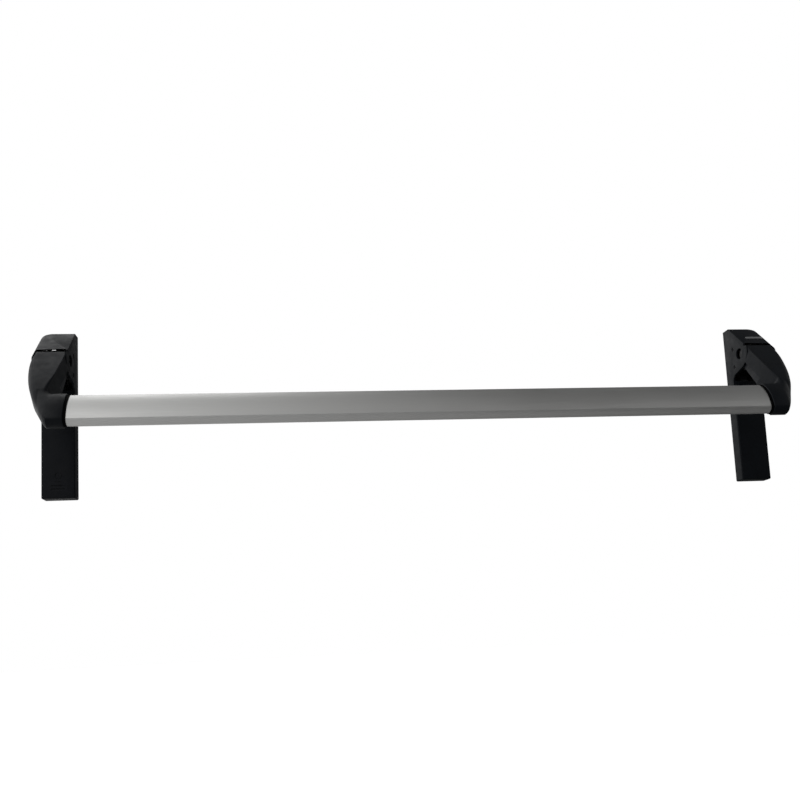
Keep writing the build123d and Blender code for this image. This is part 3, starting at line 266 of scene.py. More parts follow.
# ---- Materials --------------------------------------------------------------------------------
class Surface:
    """A Principled material with object-space procedural detail."""

    def __init__(self, name, colour, metallic, roughness):
        self.material = bpy.data.materials.new(name)
        self.material.use_nodes = True
        self.tree = self.material.node_tree
        self.shader = self.tree.nodes["Principled BSDF"]
        self.shader.inputs["Metallic"].default_value = metallic
        self.shader.inputs["Roughness"].default_value = roughness
        self.shader.inputs["Base Color"].default_value = (*colour, 1)
        self.colour = colour
        self.roughness = roughness
        self.material.diffuse_color = (*colour, 1)
        self.where = self.tree.nodes.new("ShaderNodeTexCoord")
        self.colour_out = None
        self.roughness_out = None
        self.height_out = None

    def link(self, source, target):
        self.tree.links.new(source, target)

    def noise(self, scale, detail=3.0, stretch=(1, 1, 1), rough=0.5):
        """Noise with features about 1/scale metres long, stretched along the axes."""
        mapping = self.tree.nodes.new("ShaderNodeMapping")
        mapping.inputs["Scale"].default_value = stretch
        texture = self.tree.nodes.new("ShaderNodeTexNoise")
        texture.inputs["Scale"].default_value = scale
        texture.inputs["Detail"].default_value = detail
        texture.inputs["Roughness"].default_value = rough
        self.link(self.where.outputs["Object"], mapping.inputs["Vector"])
        self.link(mapping.outputs["Vector"], texture.inputs["Vector"])
        return texture.outputs["Fac"]

    def spread(self, value, low, high, to_low, to_high):
        """Maps a value from one range to another, clamped."""
        node = self.tree.nodes.new("ShaderNodeMapRange")
        limits = {"From Min": low, "From Max": high, "To Min": to_low, "To Max": to_high}
        for socket, number in limits.items():
            node.inputs[socket].default_value = number
        self.link(value, node.inputs["Value"])
        return node.outputs["Result"]

    def math(self, operation, first, second):
        """A Math node; each operand is a number or a socket."""
        node = self.tree.nodes.new("ShaderNodeMath")
        node.operation = operation
        for socket, value in zip(node.inputs, (first, second)):
            if isinstance(value, (int, float)):
                socket.default_value = value
            else:
                self.link(value, socket)
        return node.outputs["Value"]

    def tint(self, amount, colour):
        """Mixes a second colour over the base colour by an amount socket."""
        mix = self.tree.nodes.new("ShaderNodeMix")
        mix.data_type = "RGBA"
        self.link(amount, mix.inputs["Factor"])
        if self.colour_out is None:
            mix.inputs[6].default_value = (*self.colour, 1)
        else:
            self.link(self.colour_out, mix.inputs[6])
        mix.inputs[7].default_value = (*colour, 1)
        self.colour_out = mix.outputs[2]

    def roughen(self, value):
        """Adds a socket's value to the roughness."""
        base = self.roughness if self.roughness_out is None else self.roughness_out
        self.roughness_out = self.math("ADD", value, base)

    def raise_height(self, value, depth_mm):
        """Adds a relief of the given depth to the bump."""
        layer = self.math("MULTIPLY", value, depth_mm)
        self.height_out = layer if self.height_out is None else self.math("ADD", self.height_out, layer)

    def edge_mask(self, radius_mm, low=0.004, high=0.08):
        """1 on convex and concave edges, 0 on flat faces."""
        rounded = self.tree.nodes.new("ShaderNodeBevel")
        rounded.samples = 4
        rounded.inputs["Radius"].default_value = radius_mm * MM
        plain = self.tree.nodes.new("ShaderNodeNewGeometry")
        dot = self.tree.nodes.new("ShaderNodeVectorMath")
        dot.operation = "DOT_PRODUCT"
        self.link(rounded.outputs["Normal"], dot.inputs[0])
        self.link(plain.outputs["Normal"], dot.inputs[1])
        return self.spread(self.math("SUBTRACT", 1.0, dot.outputs["Value"]), low, high, 0.0, 1.0)

    def finish(self):
        """Links what was built up to the shader and returns the material."""
        if self.colour_out is not None:
            self.link(self.colour_out, self.shader.inputs["Base Color"])
        if self.roughness_out is not None:
            self.link(self.roughness_out, self.shader.inputs["Roughness"])
        if self.height_out is not None:
            bump = self.tree.nodes.new("ShaderNodeBump")
            bump.inputs["Distance"].default_value = MM
            bump.inputs["Strength"].default_value = 1.0
            self.link(self.height_out, bump.inputs["Height"])
            self.link(bump.outputs["Normal"], self.shader.inputs["Normal"])
        return self.material


def moulded(name, colour, roughness=0.5, grain_mm=0.012, wear=(0.022, 0.023, 0.027), shine=0.11):
    """Fine-textured moulded plastic: cloudy colour, spark-eroded grain, rubbed edges."""
    s = Surface(name, colour, 0.0, roughness)
    s.shader.inputs["Specular IOR Level"].default_value = shine
    clouds = s.noise(38, 4)
    s.tint(s.spread(clouds, 0.35, 0.7, 0.0, 0.5), tuple(c * 1.7 for c in colour))
    rubbed = s.math("MULTIPLY", s.edge_mask(0.9), s.spread(s.noise(240, 3), 0.4, 0.7, 0.15, 0.75))
    s.tint(rubbed, wear)
    s.roughen(s.spread(s.noise(90, 4), 0.3, 0.7, -0.07, 0.09))
    s.raise_height(s.noise(1900, 2, rough=0.6), grain_mm * 2)
    s.raise_height(s.noise(160, 2), 0.02)
    return s.finish()


def metal(name, colour, roughness, grain=(1, 1, 1), grain_scale=900, grain_mm=0.004,
          dirt=(0.1, 0.1, 0.1), dirt_amount=0.25):
    """Bare or plated metal with a directional grain, handling marks and lighter edges."""
    s = Surface(name, colour, 1.0, roughness)
    lines = s.noise(grain_scale, 3, grain, 0.6)
    s.tint(s.spread(lines, 0.35, 0.7, 0.0, 0.16), tuple(c * 0.72 for c in colour))
    s.tint(s.spread(s.noise(28, 4), 0.45, 0.75, 0.0, dirt_amount), dirt)
    s.tint(s.math("MULTIPLY", s.edge_mask(0.5), 0.35), tuple(min(1.0, c * 1.35) for c in colour))
    s.roughen(s.spread(lines, 0.3, 0.7, -0.05, 0.06))
    s.roughen(s.spread(s.noise(45, 4), 0.3, 0.7, -0.04, 0.07))
    s.raise_height(lines, grain_mm)
    return s.finish()


def anodised_bar():
    """Satin anodised aluminium: long drawing lines, faint bands and a few soft smudges."""
    s = Surface("bar_aluminium", (0.53, 0.53, 0.52), 1.0, 0.42)
    along = (0.02, 1, 1)
    lines = s.noise(1500, 3, along, 0.65)
    bands = s.noise(120, 2, (0.01, 1, 1))
    smudges = s.noise(14, 4, (0.55, 1, 1))
    s.tint(s.spread(lines, 0.3, 0.75, 0.0, 0.13), (0.40, 0.405, 0.40))
    s.tint(s.spread(bands, 0.4, 0.7, 0.0, 0.08), (0.44, 0.445, 0.45))
    s.tint(s.spread(smudges, 0.52, 0.72, 0.0, 0.14), (0.42, 0.42, 0.41))
    s.roughen(s.spread(lines, 0.3, 0.7, -0.05, 0.05))
    s.roughen(s.spread(smudges, 0.45, 0.75, 0.0, 0.06))
    s.raise_height(lines, 0.003)
    return s.finish()


def rubber(name, colour):
    """Matt rubber with a dusty bloom."""
    s = Surface(name, colour, 0.0, 0.78)
    s.tint(s.spread(s.noise(120, 3), 0.35, 0.7, 0.0, 0.5), tuple(c * 2.2 for c in colour))
    s.roughen(s.spread(s.noise(300, 2), 0.3, 0.7, -0.06, 0.06))
    s.raise_height(s.noise(1400, 2), 0.02)
    return s.finish()


MATERIALS = {
    "bar_aluminium": anodised_bar(),
    "black_shell": moulded("black_shell", (0.0022, 0.0031, 0.0046), 0.5),
    "black_arm": moulded("black_arm", (0.0024, 0.0033, 0.0048), 0.47),
    "seam_black": moulded(
        "seam_black", (0.0012, 0.0013, 0.0015), 0.7, 0.006, (0.002, 0.002, 0.002), 0.02),
    "plug_nylon": moulded("plug_nylon", (0.05, 0.05, 0.05), 0.55, 0.008, (0.12, 0.12, 0.12)),
    "badge_satin": metal("badge_satin", (0.6, 0.61, 0.62), 0.3, (0.03, 1, 1), 1600, 0.002),
    "black_screw": metal("black_screw", (0.03, 0.03, 0.032), 0.42, grain_mm=0.002),
    "plain_screw": metal("plain_screw", (0.55, 0.55, 0.54), 0.32, grain_mm=0.002),
    # painted shade: this steel is coloured near-black so that the pin head in the cheek's window reads as dark,
    # like the shaded hole round it
    "pin_steel": metal(
        "pin_steel", (0.022, 0.022, 0.023), 0.36, (1, 0.05, 0.05), 1400, 0.002, (0.03, 0.028, 0.025)),
    "spring_steel": metal("spring_steel", (0.36, 0.36, 0.37), 0.3, grain_mm=0.001),
    # painted shade: the zinc-plated parts are coloured near-black so that what shows past the arms inside the
    # housing reads as shaded
    "zinc_plate": metal(
        "zinc_plate", (0.05, 0.05, 0.054), 0.38, (1, 1, 0.04), 1000, 0.003, (0.03, 0.03, 0.027)),
    # painted shade: the steel lever gets a near-black plastic surface so that its hub in the gap under the hood's
    # lip reads as the dark shadow of that gap
    "lever_steel": moulded(
        "lever_steel", (0.012, 0.012, 0.013), 0.6, 0.02, (0.05, 0.05, 0.05), 0.1),
    "follower_steel": metal(
        "follower_steel", (0.34, 0.33, 0.32), 0.45, (1, 1, 1), 1800, 0.008, (0.12, 0.1, 0.07)),
    "spindle_steel": metal("spindle_steel", (0.5, 0.5, 0.5), 0.3, (1, 0.03, 1), 1300, 0.004),
    "bronze": metal("bronze", (0.56, 0.38, 0.17), 0.35, (0.05, 1, 1), 1200, 0.003, (0.2, 0.12, 0.05)),
    "stop_rubber": rubber("stop_rubber", (0.012, 0.012, 0.012)),
}

SLOT_OF = {s["node"]: s["material_slot"] for s in frame["record"]["subparts"]}
for node_name, node in frame["nodes"].items():
    node.data.materials.clear()
    node.data.materials.append(MATERIALS[SLOT_OF[node_name]])

# ---- The left unit's hood and lower cover, which the right unit mirrors ------------------------
def hood_outline():
    """Side view of the hood, (depth, height)."""
    back = [(COVER_DEPTH, SEAM_Z), (0, SEAM_Z), (0, UNIT_TOP)]
    facet = [(HOOD_TOP_DEPTH, UNIT_TOP), (LIP_DEPTH, LIP_Z), LIP_FOOT]
    cheek = arc((PIVOT_DEPTH, PIVOT_Z), CHEEK_R, CHEEK_MEET, CHEEK_LEAVE, 22)
    leave_depth, leave_z = cheek[-1]
    slope = radians(90 + CHEEK_LEAVE)
    bend_z = leave_z - (leave_depth - COVER_DEPTH) * tan(slope)
    # the concave bend from the cheek's edge down to the front wall
    reach = CHEEK_BEND_R * tan((pi / 2 - slope) / 2)
    bend_centre = (COVER_DEPTH + CHEEK_BEND_R, bend_z - reach)
    bend = arc(bend_centre, CHEEK_BEND_R, 90 + degrees(slope), 180, 8)
    return back + facet + cheek + bend


def hood():
    """Hollow hood: flat top, sloping facet, round cheeks, an open front for the arm."""
    outer_side = -HALF_WIDTH
    piece = prism("left_hood_shell", hood_outline(), outer_side, HALF_WIDTH, across)
    front = [(HALF_WIDTH, SEAM_Z), (HALF_WIDTH, UNIT_TOP)]
    front += arc((outer_side + HOOD_CORNER_R, UNIT_TOP - HOOD_CORNER_R), HOOD_CORNER_R, 90, 180, 24)
    front += [(outer_side, SEAM_Z)]
    combine(piece, prism("front_view", front, -BEYOND, 2 * LIP_DEPTH, forward), "INTERSECT")
    facet_angle = atan2(UNIT_TOP - LIP_Z, LIP_DEPTH - HOOD_TOP_DEPTH)

    def over_facet(x, proud, down):
        """Row position from the height over the facet and the distance down it from the lip."""
        depth = LIP_DEPTH + down * cos(facet_angle) + proud * sin(facet_angle)
        return place(x, depth, LIP_Z - down * sin(facet_angle) + proud * cos(facet_angle))

    soft_side = [(HALF_WIDTH + BEYOND, -FAR), (HALF_WIDTH + BEYOND, FAR), (outer_side + HOOD_SIDE_R, FAR)]
    soft_side += arc((outer_side + HOOD_SIDE_R, -HOOD_SIDE_R), HOOD_SIDE_R, 90, 180, 12)
    soft_side += [(outer_side, -FAR)]
    combine(piece, prism("soft_side", soft_side, -FAR, FAR, over_facet), "INTERSECT")
    shade(piece, 20)
    bevel(piece, 0.9, 3, 30)
    lip_inside = (LIP_DEPTH - SHELL_WALL * sin(facet_angle), LIP_Z - SHELL_WALL * cos(facet_angle))
    inside_top = UNIT_TOP - SHELL_WALL
    top_inside = (lip_inside[0] - (inside_top - lip_inside[1]) / tan(facet_angle), inside_top)
    front_wall = COVER_DEPTH - SHELL_WALL
    inside = [(-BEYOND, SEAM_Z - BEYOND), (front_wall, SEAM_Z - BEYOND), (front_wall, CAVITY_FRONT_Z)]
    inside += [(2 * LIP_DEPTH, CAVITY_FRONT_Z), (2 * LIP_DEPTH, LIP_Z), (LIP_DEPTH, LIP_Z)]
    inside += [lip_inside, top_inside, (-BEYOND, inside_top)]
    combine(piece, prism("cavity", inside, -WALL_INSIDE, WALL_INSIDE, across))
    # the lip rises a little towards the inner side
    rise_start = outer_side + 3
    rise = [(rise_start, LIP_Z - 4), (WALL_INSIDE, LIP_Z - 4)]
    rise += [(WALL_INSIDE, LIP_Z + LIP_RISE), (rise_start, LIP_Z)]
    combine(piece, prism("lip_rise", rise, LIP_DEPTH - 9, LIP_DEPTH + 5, forward))
    openings = [((PIVOT_DEPTH, PIVOT_Z), PIN_WINDOW_R)]
    openings += [(centre, CHEEK_SCREW_R) for centre in CHEEK_SCREWS]
    for centre, radius in openings:
        opening = circle(centre, radius)
        combine(piece, prism("opening", opening, WALL_INSIDE - 0.5, HALF_WIDTH + BEYOND, across))
        combine(piece, countersink(centre, radius, 0.45))
    shade(piece)
    return piece


def countersink(centre, radius, width):
    """Cone that breaks the edge of a round opening in the inner cheek."""
    loops = []
    for x, r in ((HALF_WIDTH - width, radius), (HALF_WIDTH + width, radius + 2 * width)):
        loops.append([across(depth, z, x) for depth, z in circle(centre, r)])
    return skin("countersink", loops)


def foot_hole():
    """Countersunk hole of the foot screw, along the height."""
    steps = ((-BEYOND, FOOT_HEAD_R), (0, FOOT_HEAD_R))
    steps += ((FOOT_HEAD_DEPTH, FOOT_SCREW_R), (SHELL_WALL + BEYOND, FOOT_SCREW_R))
    loops = []
    for up, r in steps:
        loops.append([place(x, depth, UNIT_BOTTOM + up) for x, depth in circle((0, FOOT_SCREW_DEPTH), r)])
    return skin("foot_hole", loops)


def rounded_bar(centre, length, height, steps=8):
    """Outline of a small bar with round ends, (x, height)."""
    r = height / 2
    right = arc((centre[0] + length / 2 - r, centre[1]), r, -90, 90, steps)
    left = arc((centre[0] - length / 2 + r, centre[1]), r, 90, 270, steps)
    return right + left


def round_cover_edges(piece):
    """Rounds the cover's long front edges and the edges of its foot."""
    bm = bmesh.new()
    bm.from_mesh(piece.data)
    front_y = -COVER_DEPTH * MM
    rounded = []
    for edge in bm.edges:
        middle = (edge.verts[0].co + edge.verts[1].co) / 2
        along_x = abs(edge.verts[0].co.x - edge.verts[1].co.x) > MM
        front = abs(middle.y - front_y) < 1e-6
        foot = middle.z < (UNIT_BOTTOM + 1) * MM
        if (front and not along_x) or (front and foot) or (foot and not along_x):
            rounded.append(edge)
    bmesh.ops.bevel(bm, geom=rounded, offset=COVER_EDGE_R * MM, segments=5, profile=0.5, affect="EDGES")
    bm.to_mesh(piece.data)
    bm.free()


def sink_marks(piece):
    """Sinks a plain ring and three plain bars in the cover's front, near the foot."""
    sunk = COVER_DEPTH - MARK_DEPTH
    up, radius, inner_radius = MARK_RING
    centre = (0, UNIT_BOTTOM + up)
    ring = prism("ring", circle(centre, radius), sunk, COVER_DEPTH + BEYOND, forward)
    core = prism("core", circle(centre, inner_radius), sunk - BEYOND, COVER_DEPTH + 2 * BEYOND, forward)
    combine(ring, core)
    combine(piece, ring)
    for up, length, height in MARK_BARS:
        bar = rounded_bar((0, UNIT_BOTTOM + up), length, height)
        combine(piece, prism("bar", bar, sunk, COVER_DEPTH + BEYOND, forward))


def rectangle(half_width, low, high):
    """Outline round the unit's middle, (x, height)."""
    return [(-half_width, low), (half_width, low), (half_width, high), (-half_width, high)]


def lower_cover(name, marked):
    """Slim hollow cover below the hood; the left one carries the marks."""
    piece = prism(name, rectangle(HALF_WIDTH, UNIT_BOTTOM, SEAM_Z), -2, COVER_DEPTH, forward)
    round_cover_edges(piece)
    inside = rectangle(WALL_INSIDE, UNIT_BOTTOM + SHELL_WALL, SEAM_Z + BEYOND)
    combine(piece, prism("cavity", inside, -3, COVER_DEPTH - SHELL_WALL, forward))
    whole = rectangle(HALF_WIDTH + BEYOND, UNIT_BOTTOM - BEYOND, SEAM_Z + BEYOND)
    combine(piece, prism("behind_door_face", whole, -4, 0, forward))
    combine(piece, foot_hole())
    if marked:
        sink_marks(piece)
    shade(piece)
    return piece


# ---- Arm casing: sections down the arm, a fan round the elbow's hollow corner, then the boss ---
BAR_DOWN = (BAR_DEPTH - LIP_DEPTH) * cos(ARM_TILT) - (BAR_Z - LIP_Z + 1) * sin(ARM_TILT)
BAR_PROUD = (BAR_DEPTH - LIP_DEPTH) * sin(ARM_TILT) + (BAR_Z - LIP_Z + 1) * cos(ARM_TILT)
ELBOW_X = 11.0              # where the inner edge of the front face meets the elbow
ELBOW_R = 4.6               # hollow corner between arm and boss
ROOT_CREASE = 0.7           # round edge along the front face's inner side, at the root
ELBOW_CREASE = 3.4          # and at the elbow
CREASE_GROWS = 50.0         # how far down the arm that edge starts to grow
ROOT_FRONT_R = 3.6          # round edge along the front face's outer side, at the root
ELBOW_FRONT_R = 9.3         # and from FRONT_R_DONE down the arm on
FRONT_R_DONE = 60.0
BACK_R = 1.2
OVAL_TURN = BAR_TILT - ARM_TILT
BOSS_HALF = OVAL_LENGTH / 2 + BOSS_GROW
FAN_X = ELBOW_X + ELBOW_R
FAN_DOWN = BAR_DOWN - BOSS_HALF * cos(OVAL_TURN) - ELBOW_R
BOSS_FOOT = FAN_DOWN + ELBOW_R + 2 * BOSS_HALF * cos(OVAL_TURN)
INNER_START = HALF_WIDTH - 0.6
OUTER_CURVES = (
    ((-16.6, 0.0), (-23.9, 30.0), (-17.5, 62.0), (-8.3, 88.0)),
    ((-8.3, 88.0), (-3.0, 102.9), (11.8, BOSS_FOOT), (FAN_X, BOSS_FOOT)),
)
LOOP_PARTS = (20, 10, 8, 6, 16, 6, 10, 6)    # faces along each side and corner of a section
ROOT_OVERLAP = 8.0          # how far above the lip the sections start; the root cut takes this off
ARM_STEPS = 40
FAN_STEPS = 30
INNER_EDGE_LENGTH = 86.0


def oval_loop(grow):
    """The bar's oval offset by grow, (along the long axis, across), spread like a rectangle's loop."""
    crown_r = OVAL_CROWN_R + grow
    end_r = OVAL_END_R + grow
    end_x = OVAL_LENGTH / 2 - OVAL_END_R
    crown_y = OVAL_THICKNESS / 2 - OVAL_CROWN_R
    span = hypot(end_x, crown_y)
    # the crown circle and the end circle cross at the corner
    reach = (crown_r ** 2 - end_r ** 2 + span ** 2) / (2 * span)
    rise = sqrt(crown_r ** 2 - reach ** 2)
    corner_x = (reach * end_x - rise * crown_y) / span
    corner_y = crown_y + (-reach * crown_y - rise * end_x) / span
    crown_half = degrees(atan2(corner_x, corner_y - crown_y))
    end_half = degrees(atan2(corner_y, corner_x - end_x))
    front, corner_a, outer, corner_b, back, corner_c, inner, corner_d = LOOP_PARTS
    loop = arc((0, crown_y), crown_r, 90 + crown_half, 90 - crown_half, front)[:-1]
    loop += arc((end_x, 0), end_r, end_half, -end_half, corner_a + outer + corner_b)[:-1]
    loop += arc((0, -crown_y), crown_r, -90 + crown_half, -90 - crown_half, back)[:-1]
    loop += arc((-end_x, 0), end_r, 180 + end_half, 180 - end_half, corner_c + inner + corner_d)[:-1]
    return loop


def block_loop(inner, outer, front_at, back, slant, front_r, crease_r):
    """Section of the arm, (place across, height): flat back, crowned front, round outer corner."""
    front, corner_a, side_a, corner_b, rear, corner_c, side_b, corner_d = LOOP_PARTS
    way = 1 if outer > inner else -1

    def point(from_outer, height):
        return (outer - way * from_outer, height)

    top_outer = front_at(outer - way * front_r)
    loop = []
    start = inner + way * crease_r
    for i in range(front):
        spot = start + (outer - way * front_r - start) * i / front
        loop.append((spot, front_at(spot)))
    for a, b in arc((front_r, top_outer - front_r), front_r, 90, 180, corner_a)[:-1]:
        loop.append(point(a, b))
    for i in range(side_a):
        loop.append(point(0, top_outer - front_r + (back + BACK_R - top_outer + front_r) * i / side_a))
    for a, b in arc((BACK_R, back + BACK_R), BACK_R, 180, 270, corner_b)[:-1]:
        loop.append(point(a, b))
    foot = inner + way * slant
    for i in range(rear):
        loop.append((outer - way * BACK_R + (foot + way * BACK_R - outer + way * BACK_R) * i / rear, back))
    for a, b in arc((0, back + BACK_R), BACK_R, -90, 0, corner_c)[:-1]:
        loop.append((foot + way * BACK_R - way * a, b))
    lip = front_at(inner) - crease_r
    for i in range(side_b):
        share = i / side_b
        loop.append((foot + (inner - foot) * share, back + BACK_R + (lip - back - BACK_R) * share))
    for a, b in arc((0, lip), crease_r, 0, 90, corner_d)[:-1]:
        loop.append((inner + way * crease_r - way * a, b))
    return loop


def outer_edge(steps=120):
    """The arm's outer edge as points (x, down), from two joined Bezier curves."""
    points = []
    for curve in OUTER_CURVES:
        for i in range(steps + 1):
            t = i / steps
            weights = ((1 - t) ** 3, 3 * t * (1 - t) ** 2, 3 * t * t * (1 - t), t ** 3)
            points.append(tuple(sum(w * p[k] for w, p in zip(weights, curve)) for k in (0, 1)))
    return points


def face_height(down):
    """Height of the arm's front face over its slope: a long shallow bulge."""
    crown, root_drop, boss_drop = 1.5, 1.3, 2.4
    share = (down - BAR_DOWN / 2) / (BAR_DOWN / 2)
    return crown - share * share * (root_drop if share < 0 else boss_drop)


def slant_at(down):
    """How far the inner side leans in under the front face."""
    return 4.0 * smooth_step(down / 22) + 1.3 * smooth_step((down - 20) / 50)


def inner_edge(down):
    """x of the front face's inner edge, from the root to the elbow."""
    share = min(1.0, max(0.0, down / INNER_EDGE_LENGTH))
    return INNER_START - (INNER_START - ELBOW_X) * (0.35 * share + 0.65 * share ** 1.8)


def straight_sections():
    """Loops of row positions from the root to the elbow."""
    edge = [(down, x) for x, down in outer_edge()]
    loops = []
    for i in range(ARM_STEPS):
        down = -ROOT_OVERLAP + (FAN_DOWN + ROOT_OVERLAP) * i / ARM_STEPS
        outer = look_up(edge, max(0.0, down))
        front_r = ROOT_FRONT_R + (ELBOW_FRONT_R - ROOT_FRONT_R) * smooth_step(down / FRONT_R_DONE)
        grown = smooth_step((down - CREASE_GROWS) / (FAN_DOWN - CREASE_GROWS))
        crease = ROOT_CREASE + (ELBOW_CREASE - ROOT_CREASE) * grown
        height = face_height(down)

        def front_at(spot, h=height):
            return h

        back, slant = -ARM_THICKNESS, -slant_at(down)
        block = block_loop(inner_edge(down), outer, front_at, back, slant, front_r, crease)
        loops.append([on_arm(x, down, proud) for x, proud in block])
    return loops


def boss_point(a, b):
    """(down, proud) of a point given along and across the bar's oval."""
    down = BAR_DOWN + a * cos(OVAL_TURN) + b * sin(OVAL_TURN)
    return (down, BAR_PROUD - a * sin(OVAL_TURN) + b * cos(OVAL_TURN))


def fan_sections():
    """Loops of row positions round the hollow corner, from the arm's section to the boss's oval."""
    edge = []
    for x, down in outer_edge():
        if down > FAN_DOWN - 1:
            edge.append((atan2(down - FAN_DOWN, FAN_X - x), hypot(down - FAN_DOWN, FAN_X - x)))
    boss = oval_loop(BOSS_GROW)
    loops = []
    for i in range(FAN_STEPS + 1):
        angle = pi / 2 * i / FAN_STEPS
        reach = look_up(edge, angle)
        mix = smooth_step((i / FAN_STEPS - 0.12) / 0.88)

        def front_at(radius, a=angle):
            return face_height(FAN_DOWN + radius * sin(a))

        back, slant = -ARM_THICKNESS, -slant_at(FAN_DOWN)
        block = block_loop(ELBOW_R, reach, front_at, back, slant, ELBOW_FRONT_R, ELBOW_CREASE)
        scale = (reach - ELBOW_R) / (2 * BOSS_HALF * cos(OVAL_TURN))
        loop = []
        for (radius, proud), (a, b) in zip(block, boss):
            oval_down, oval_proud = boss_point(a, b)
            oval_radius = ELBOW_R + (oval_down - FAN_DOWN - ELBOW_R) * scale
            r = radius + (oval_radius - radius) * mix
            n = proud + (oval_proud - proud) * mix
            loop.append(on_arm(FAN_X - r * cos(angle), FAN_DOWN + r * sin(angle), n))
        loops.append(loop)
    return loops


def boss_sections():
    """Loops of row positions along the boss, with a round rim at its end."""
    places = [(BOSS_END - BOSS_RIM_R, 0.0)]
    for angle in (30, 60, 90):
        turn = radians(angle)
        places.append((BOSS_END - BOSS_RIM_R + BOSS_RIM_R * sin(turn), BOSS_RIM_R * (1 - cos(turn))))
    loops = []
    for x, shrink in places:
        loops.append([on_arm(x, *boss_point(a, b)) for a, b in oval_loop(BOSS_GROW - shrink)])
    return loops


def oval_prism(name, grow, low, high):
    """A prism of the bar's oval offset by grow, along x."""
    def to_row(a, b, x):
        depth = BAR_DEPTH + a * cos(BAR_TILT) + b * sin(BAR_TILT)
        return place(x, depth, BAR_Z - a * sin(BAR_TILT) + b * cos(BAR_TILT))
    return prism(name, oval_loop(grow), low, high, to_row)


def open_arm(piece):
    """Cuts the casing's root, the room for the cheeks, the lever's channel and the bar's socket."""
    wide = 30
    pivot = (PIVOT_DEPTH, PIVOT_Z)
    combine(piece, prism("hub", circle(pivot, HUB_ROOM_R, 120), -wide, wide, across))
    # the root's upper face stands off the hood's lip more at the inner side
    root = [(0, 0), (60, ROOT_ANGLE), (90, 75), (90, 120), (60, 180)]
    combine(piece, prism("root", root, -wide, wide, past_root))
    # beside the cheeks the arm starts outside their round edges, and only near its front
    inside_x = WALL_INSIDE - 0.4
    cheek = circle(pivot, CHEEK_R + 0.6, 120)
    behind = [(-30, -15.5), (60, -15.5), (60, -60), (-30, -60)]

    def beside(down, proud, x):
        return on_arm(x, down, proud)

    for low, high in ((inside_x, wide), (-wide, -inside_x)):
        combine(piece, prism("cheek", cheek, low, high, across))
        combine(piece, prism("beside", behind, low, high, beside))
    # the channel narrows with the arm towards the elbow
    channel = [(13.4, -20), (-13.4, -20), (-13.4, 5)]
    channel += [(-12.9, 26), (-11.2, 47), (-8.9, 67), (-5.8, 86)]
    channel += [(7, 86), (9.2, 68), (11.4, 50), (12.8, 30), (13.4, 10)]
    combine(piece, prism("channel", channel, -60, -ARM_WALL, on_arm))
    combine(piece, oval_prism("socket", SOCKET_PLAY, BOSS_END - SOCKET_LENGTH, BOSS_END + 5))
    shade(piece, 34)


# ---- The visible shells of both units -----------------------------------------------------------
left_hood = hood()
right_hood = mirrored(left_hood, "right_hood_shell")
left_cover = lower_cover("left_cover_shell", True)
plain_cover = lower_cover("plain_cover", False)
right_cover = mirrored(plain_cover, "right_cover_shell")
bpy.data.objects.remove(plain_cover)
left_arm = skin("left_arm_casing", straight_sections() + fan_sections() + boss_sections())
open_arm(left_arm)
right_arm = mirrored(left_arm, "right_arm_casing")
settle(left_hood, "housings", "black_shell", "left_hood")
settle(right_hood, "housings", "black_shell", "right_hood")
settle(left_cover, "housings", "black_shell", "left_lower_cover")
settle(right_cover, "housings", "black_shell", "right_lower_cover")
settle(left_arm, "push_bar", "black_arm", "left_arm_shell")
settle(right_arm, "push_bar", "black_arm", "right_arm_shell")

# ---- The stage --------------------------------------------------------------------------------
FLOOR_Z = -0.95             # metres


def pale_stage():
    """A wide plain floor well below the device; its light fades towards the right."""
    bm = bmesh.new()
    bmesh.ops.create_circle(bm, cap_ends=True, radius=30, segments=96)
    floor = make_object("floor", bm)
    floor.location = (0.45, 0, FLOOR_Z)
    paint = bpy.data.materials.new("pale_floor")
    paint.use_nodes = True
    nodes = paint.node_tree.nodes
    links = paint.node_tree.links
    shader = nodes["Principled BSDF"]
    shader.inputs["Roughness"].default_value = 0.9
    shader.inputs["Emission Color"].default_value = (1, 1, 1, 1)
    where = nodes.new("ShaderNodeTexCoord")
    parts = nodes.new("ShaderNodeSeparateXYZ")
    fade = nodes.new("ShaderNodeMapRange")
    limits = {"From Min": -0.9, "From Max": 1.3, "To Min": 0.86, "To Max": 0.12}
    for socket, number in limits.items():
        fade.inputs[socket].default_value = number
    links.new(where.outputs["Object"], parts.inputs["Vector"])
    links.new(parts.outputs["X"], fade.inputs["Value"])
    links.new(fade.outputs["Result"], shader.inputs["Base Color"])
    # the floor itself is seen as plain white
    path = nodes.new("ShaderNodeLightPath")
    links.new(path.outputs["Is Camera Ray"], shader.inputs["Emission Strength"])
    floor.data.materials.append(paint)


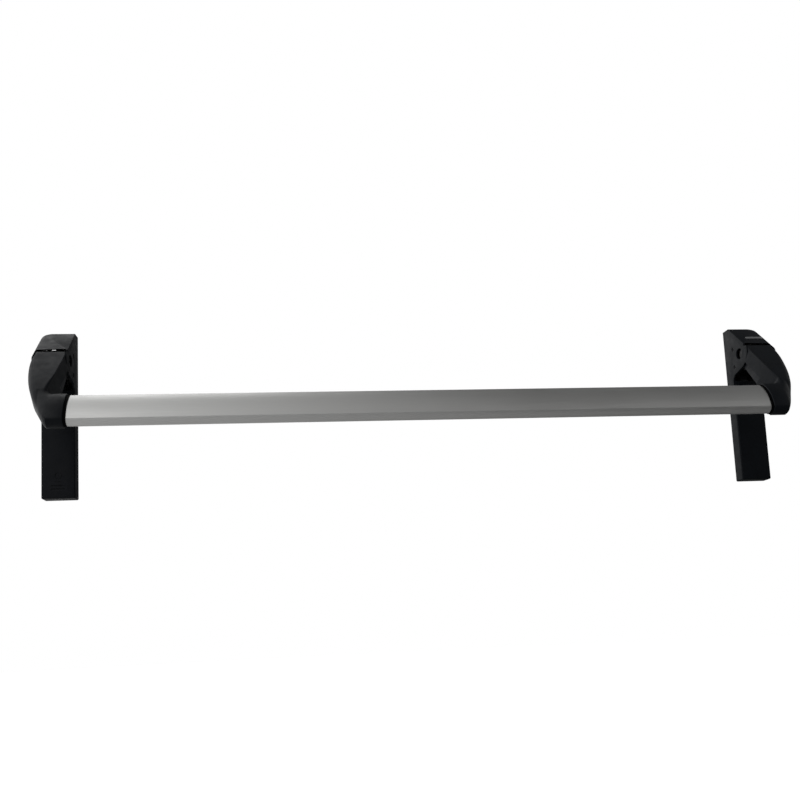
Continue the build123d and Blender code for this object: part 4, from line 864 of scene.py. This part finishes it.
def pale_world():
    """White behind everything; the light itself comes mostly from the left."""
    world = bpy.data.worlds.new("studio")
    bpy.context.scene.world = world
    world.use_nodes = True
    nodes = world.node_tree.nodes
    links = world.node_tree.links
    where = nodes.new("ShaderNodeTexCoord")
    parts = nodes.new("ShaderNodeSeparateXYZ")
    links.new(where.outputs["Generated"], parts.inputs["Vector"])
    across_room = nodes.new("ShaderNodeMapRange")
    across_room.inputs["From Min"].default_value = -1.0
    links.new(parts.outputs["X"], across_room.inputs["Value"])
    glow = nodes.new("ShaderNodeValToRGB")
    ramp = glow.color_ramp
    ramp.elements[0].position, ramp.elements[0].color = 0.0, (1, 1, 1, 1)
    ramp.elements[1].position, ramp.elements[1].color = 1.0, (0.55, 0.55, 0.55, 1)
    for spot, level in ((0.36, 1.0), (0.48, 0.52), (0.58, 0.15), (0.68, 0.05), (0.76, 0.16)):
        ramp.elements.new(spot).color = (level, level, level, 1)
    links.new(across_room.outputs["Result"], glow.inputs["Fac"])
    sky = nodes["Background"]
    links.new(glow.outputs["Color"], sky.inputs["Color"])
    sky.inputs["Strength"].default_value = 1.05
    shown = nodes.new("ShaderNodeBackground")
    shown.inputs["Color"].default_value = (1, 1, 1, 1)
    shown.inputs["Strength"].default_value = 1.0
    path = nodes.new("ShaderNodeLightPath")
    mix = nodes.new("ShaderNodeMixShader")
    links.new(path.outputs["Is Camera Ray"], mix.inputs["Fac"])
    links.new(sky.outputs["Background"], mix.inputs[1])
    links.new(shown.outputs["Background"], mix.inputs[2])
    links.new(mix.outputs["Shader"], nodes["World Output"].inputs["Surface"])


def soft_light(name, spot, aim, size, power):
    """A square white area lamp that looks from spot to aim."""
    lamp = bpy.data.lights.new(name, "AREA")
    lamp.shape = "RECTANGLE"
    lamp.size = size
    lamp.size_y = size
    lamp.energy = power
    holder = bpy.data.objects.new(name, lamp)
    bpy.context.scene.collection.objects.link(holder)
    holder.location = spot
    holder.rotation_mode = "QUATERNION"
    holder.rotation_quaternion = (Vector(aim) - Vector(spot)).to_track_quat("-Z", "Y")


def camera():
    """The viewpoint: from in front and a little below, nearer to the left unit."""
    yaw, pitch, roll = 0.11776, 0.11659, -0.04713
    ahead = Vector((sin(yaw) * cos(pitch), cos(yaw) * cos(pitch), sin(pitch)))
    level = Vector((cos(yaw), -sin(yaw), 0))
    upright = level.cross(ahead)
    right = cos(roll) * level + sin(roll) * upright
    up = -sin(roll) * level + cos(roll) * upright
    lens = bpy.data.cameras.new("camera")
    lens.sensor_width = 36
    lens.lens = 39.55
    lens.shift_x = 0.0064
    lens.shift_y = 0.1626
    lens.clip_start = 0.01
    lens.clip_end = 100
    holder = bpy.data.objects.new("camera", lens)
    bpy.context.scene.collection.objects.link(holder)
    turn = Matrix((right, up, -ahead)).transposed().to_4x4()
    holder.matrix_world = Matrix.Translation((0.28515, -1.1309, -0.2476)) @ turn
    bpy.context.scene.camera = holder


pale_stage()
pale_world()
soft_light("window", (-1.3, -1.5, 1.5), (0.1, -0.1, 0.05), 1.2, 8)
soft_light("fill", (1.9, -1.6, 0.9), (0.9, -0.1, 0.05), 1.2, 1.2)
soft_light("ceiling", (-0.3, 1.0, 1.5), (0.0, 0.0, 0.1), 1.0, 4)
camera()
bpy.context.scene.view_settings.view_transform = "Standard"
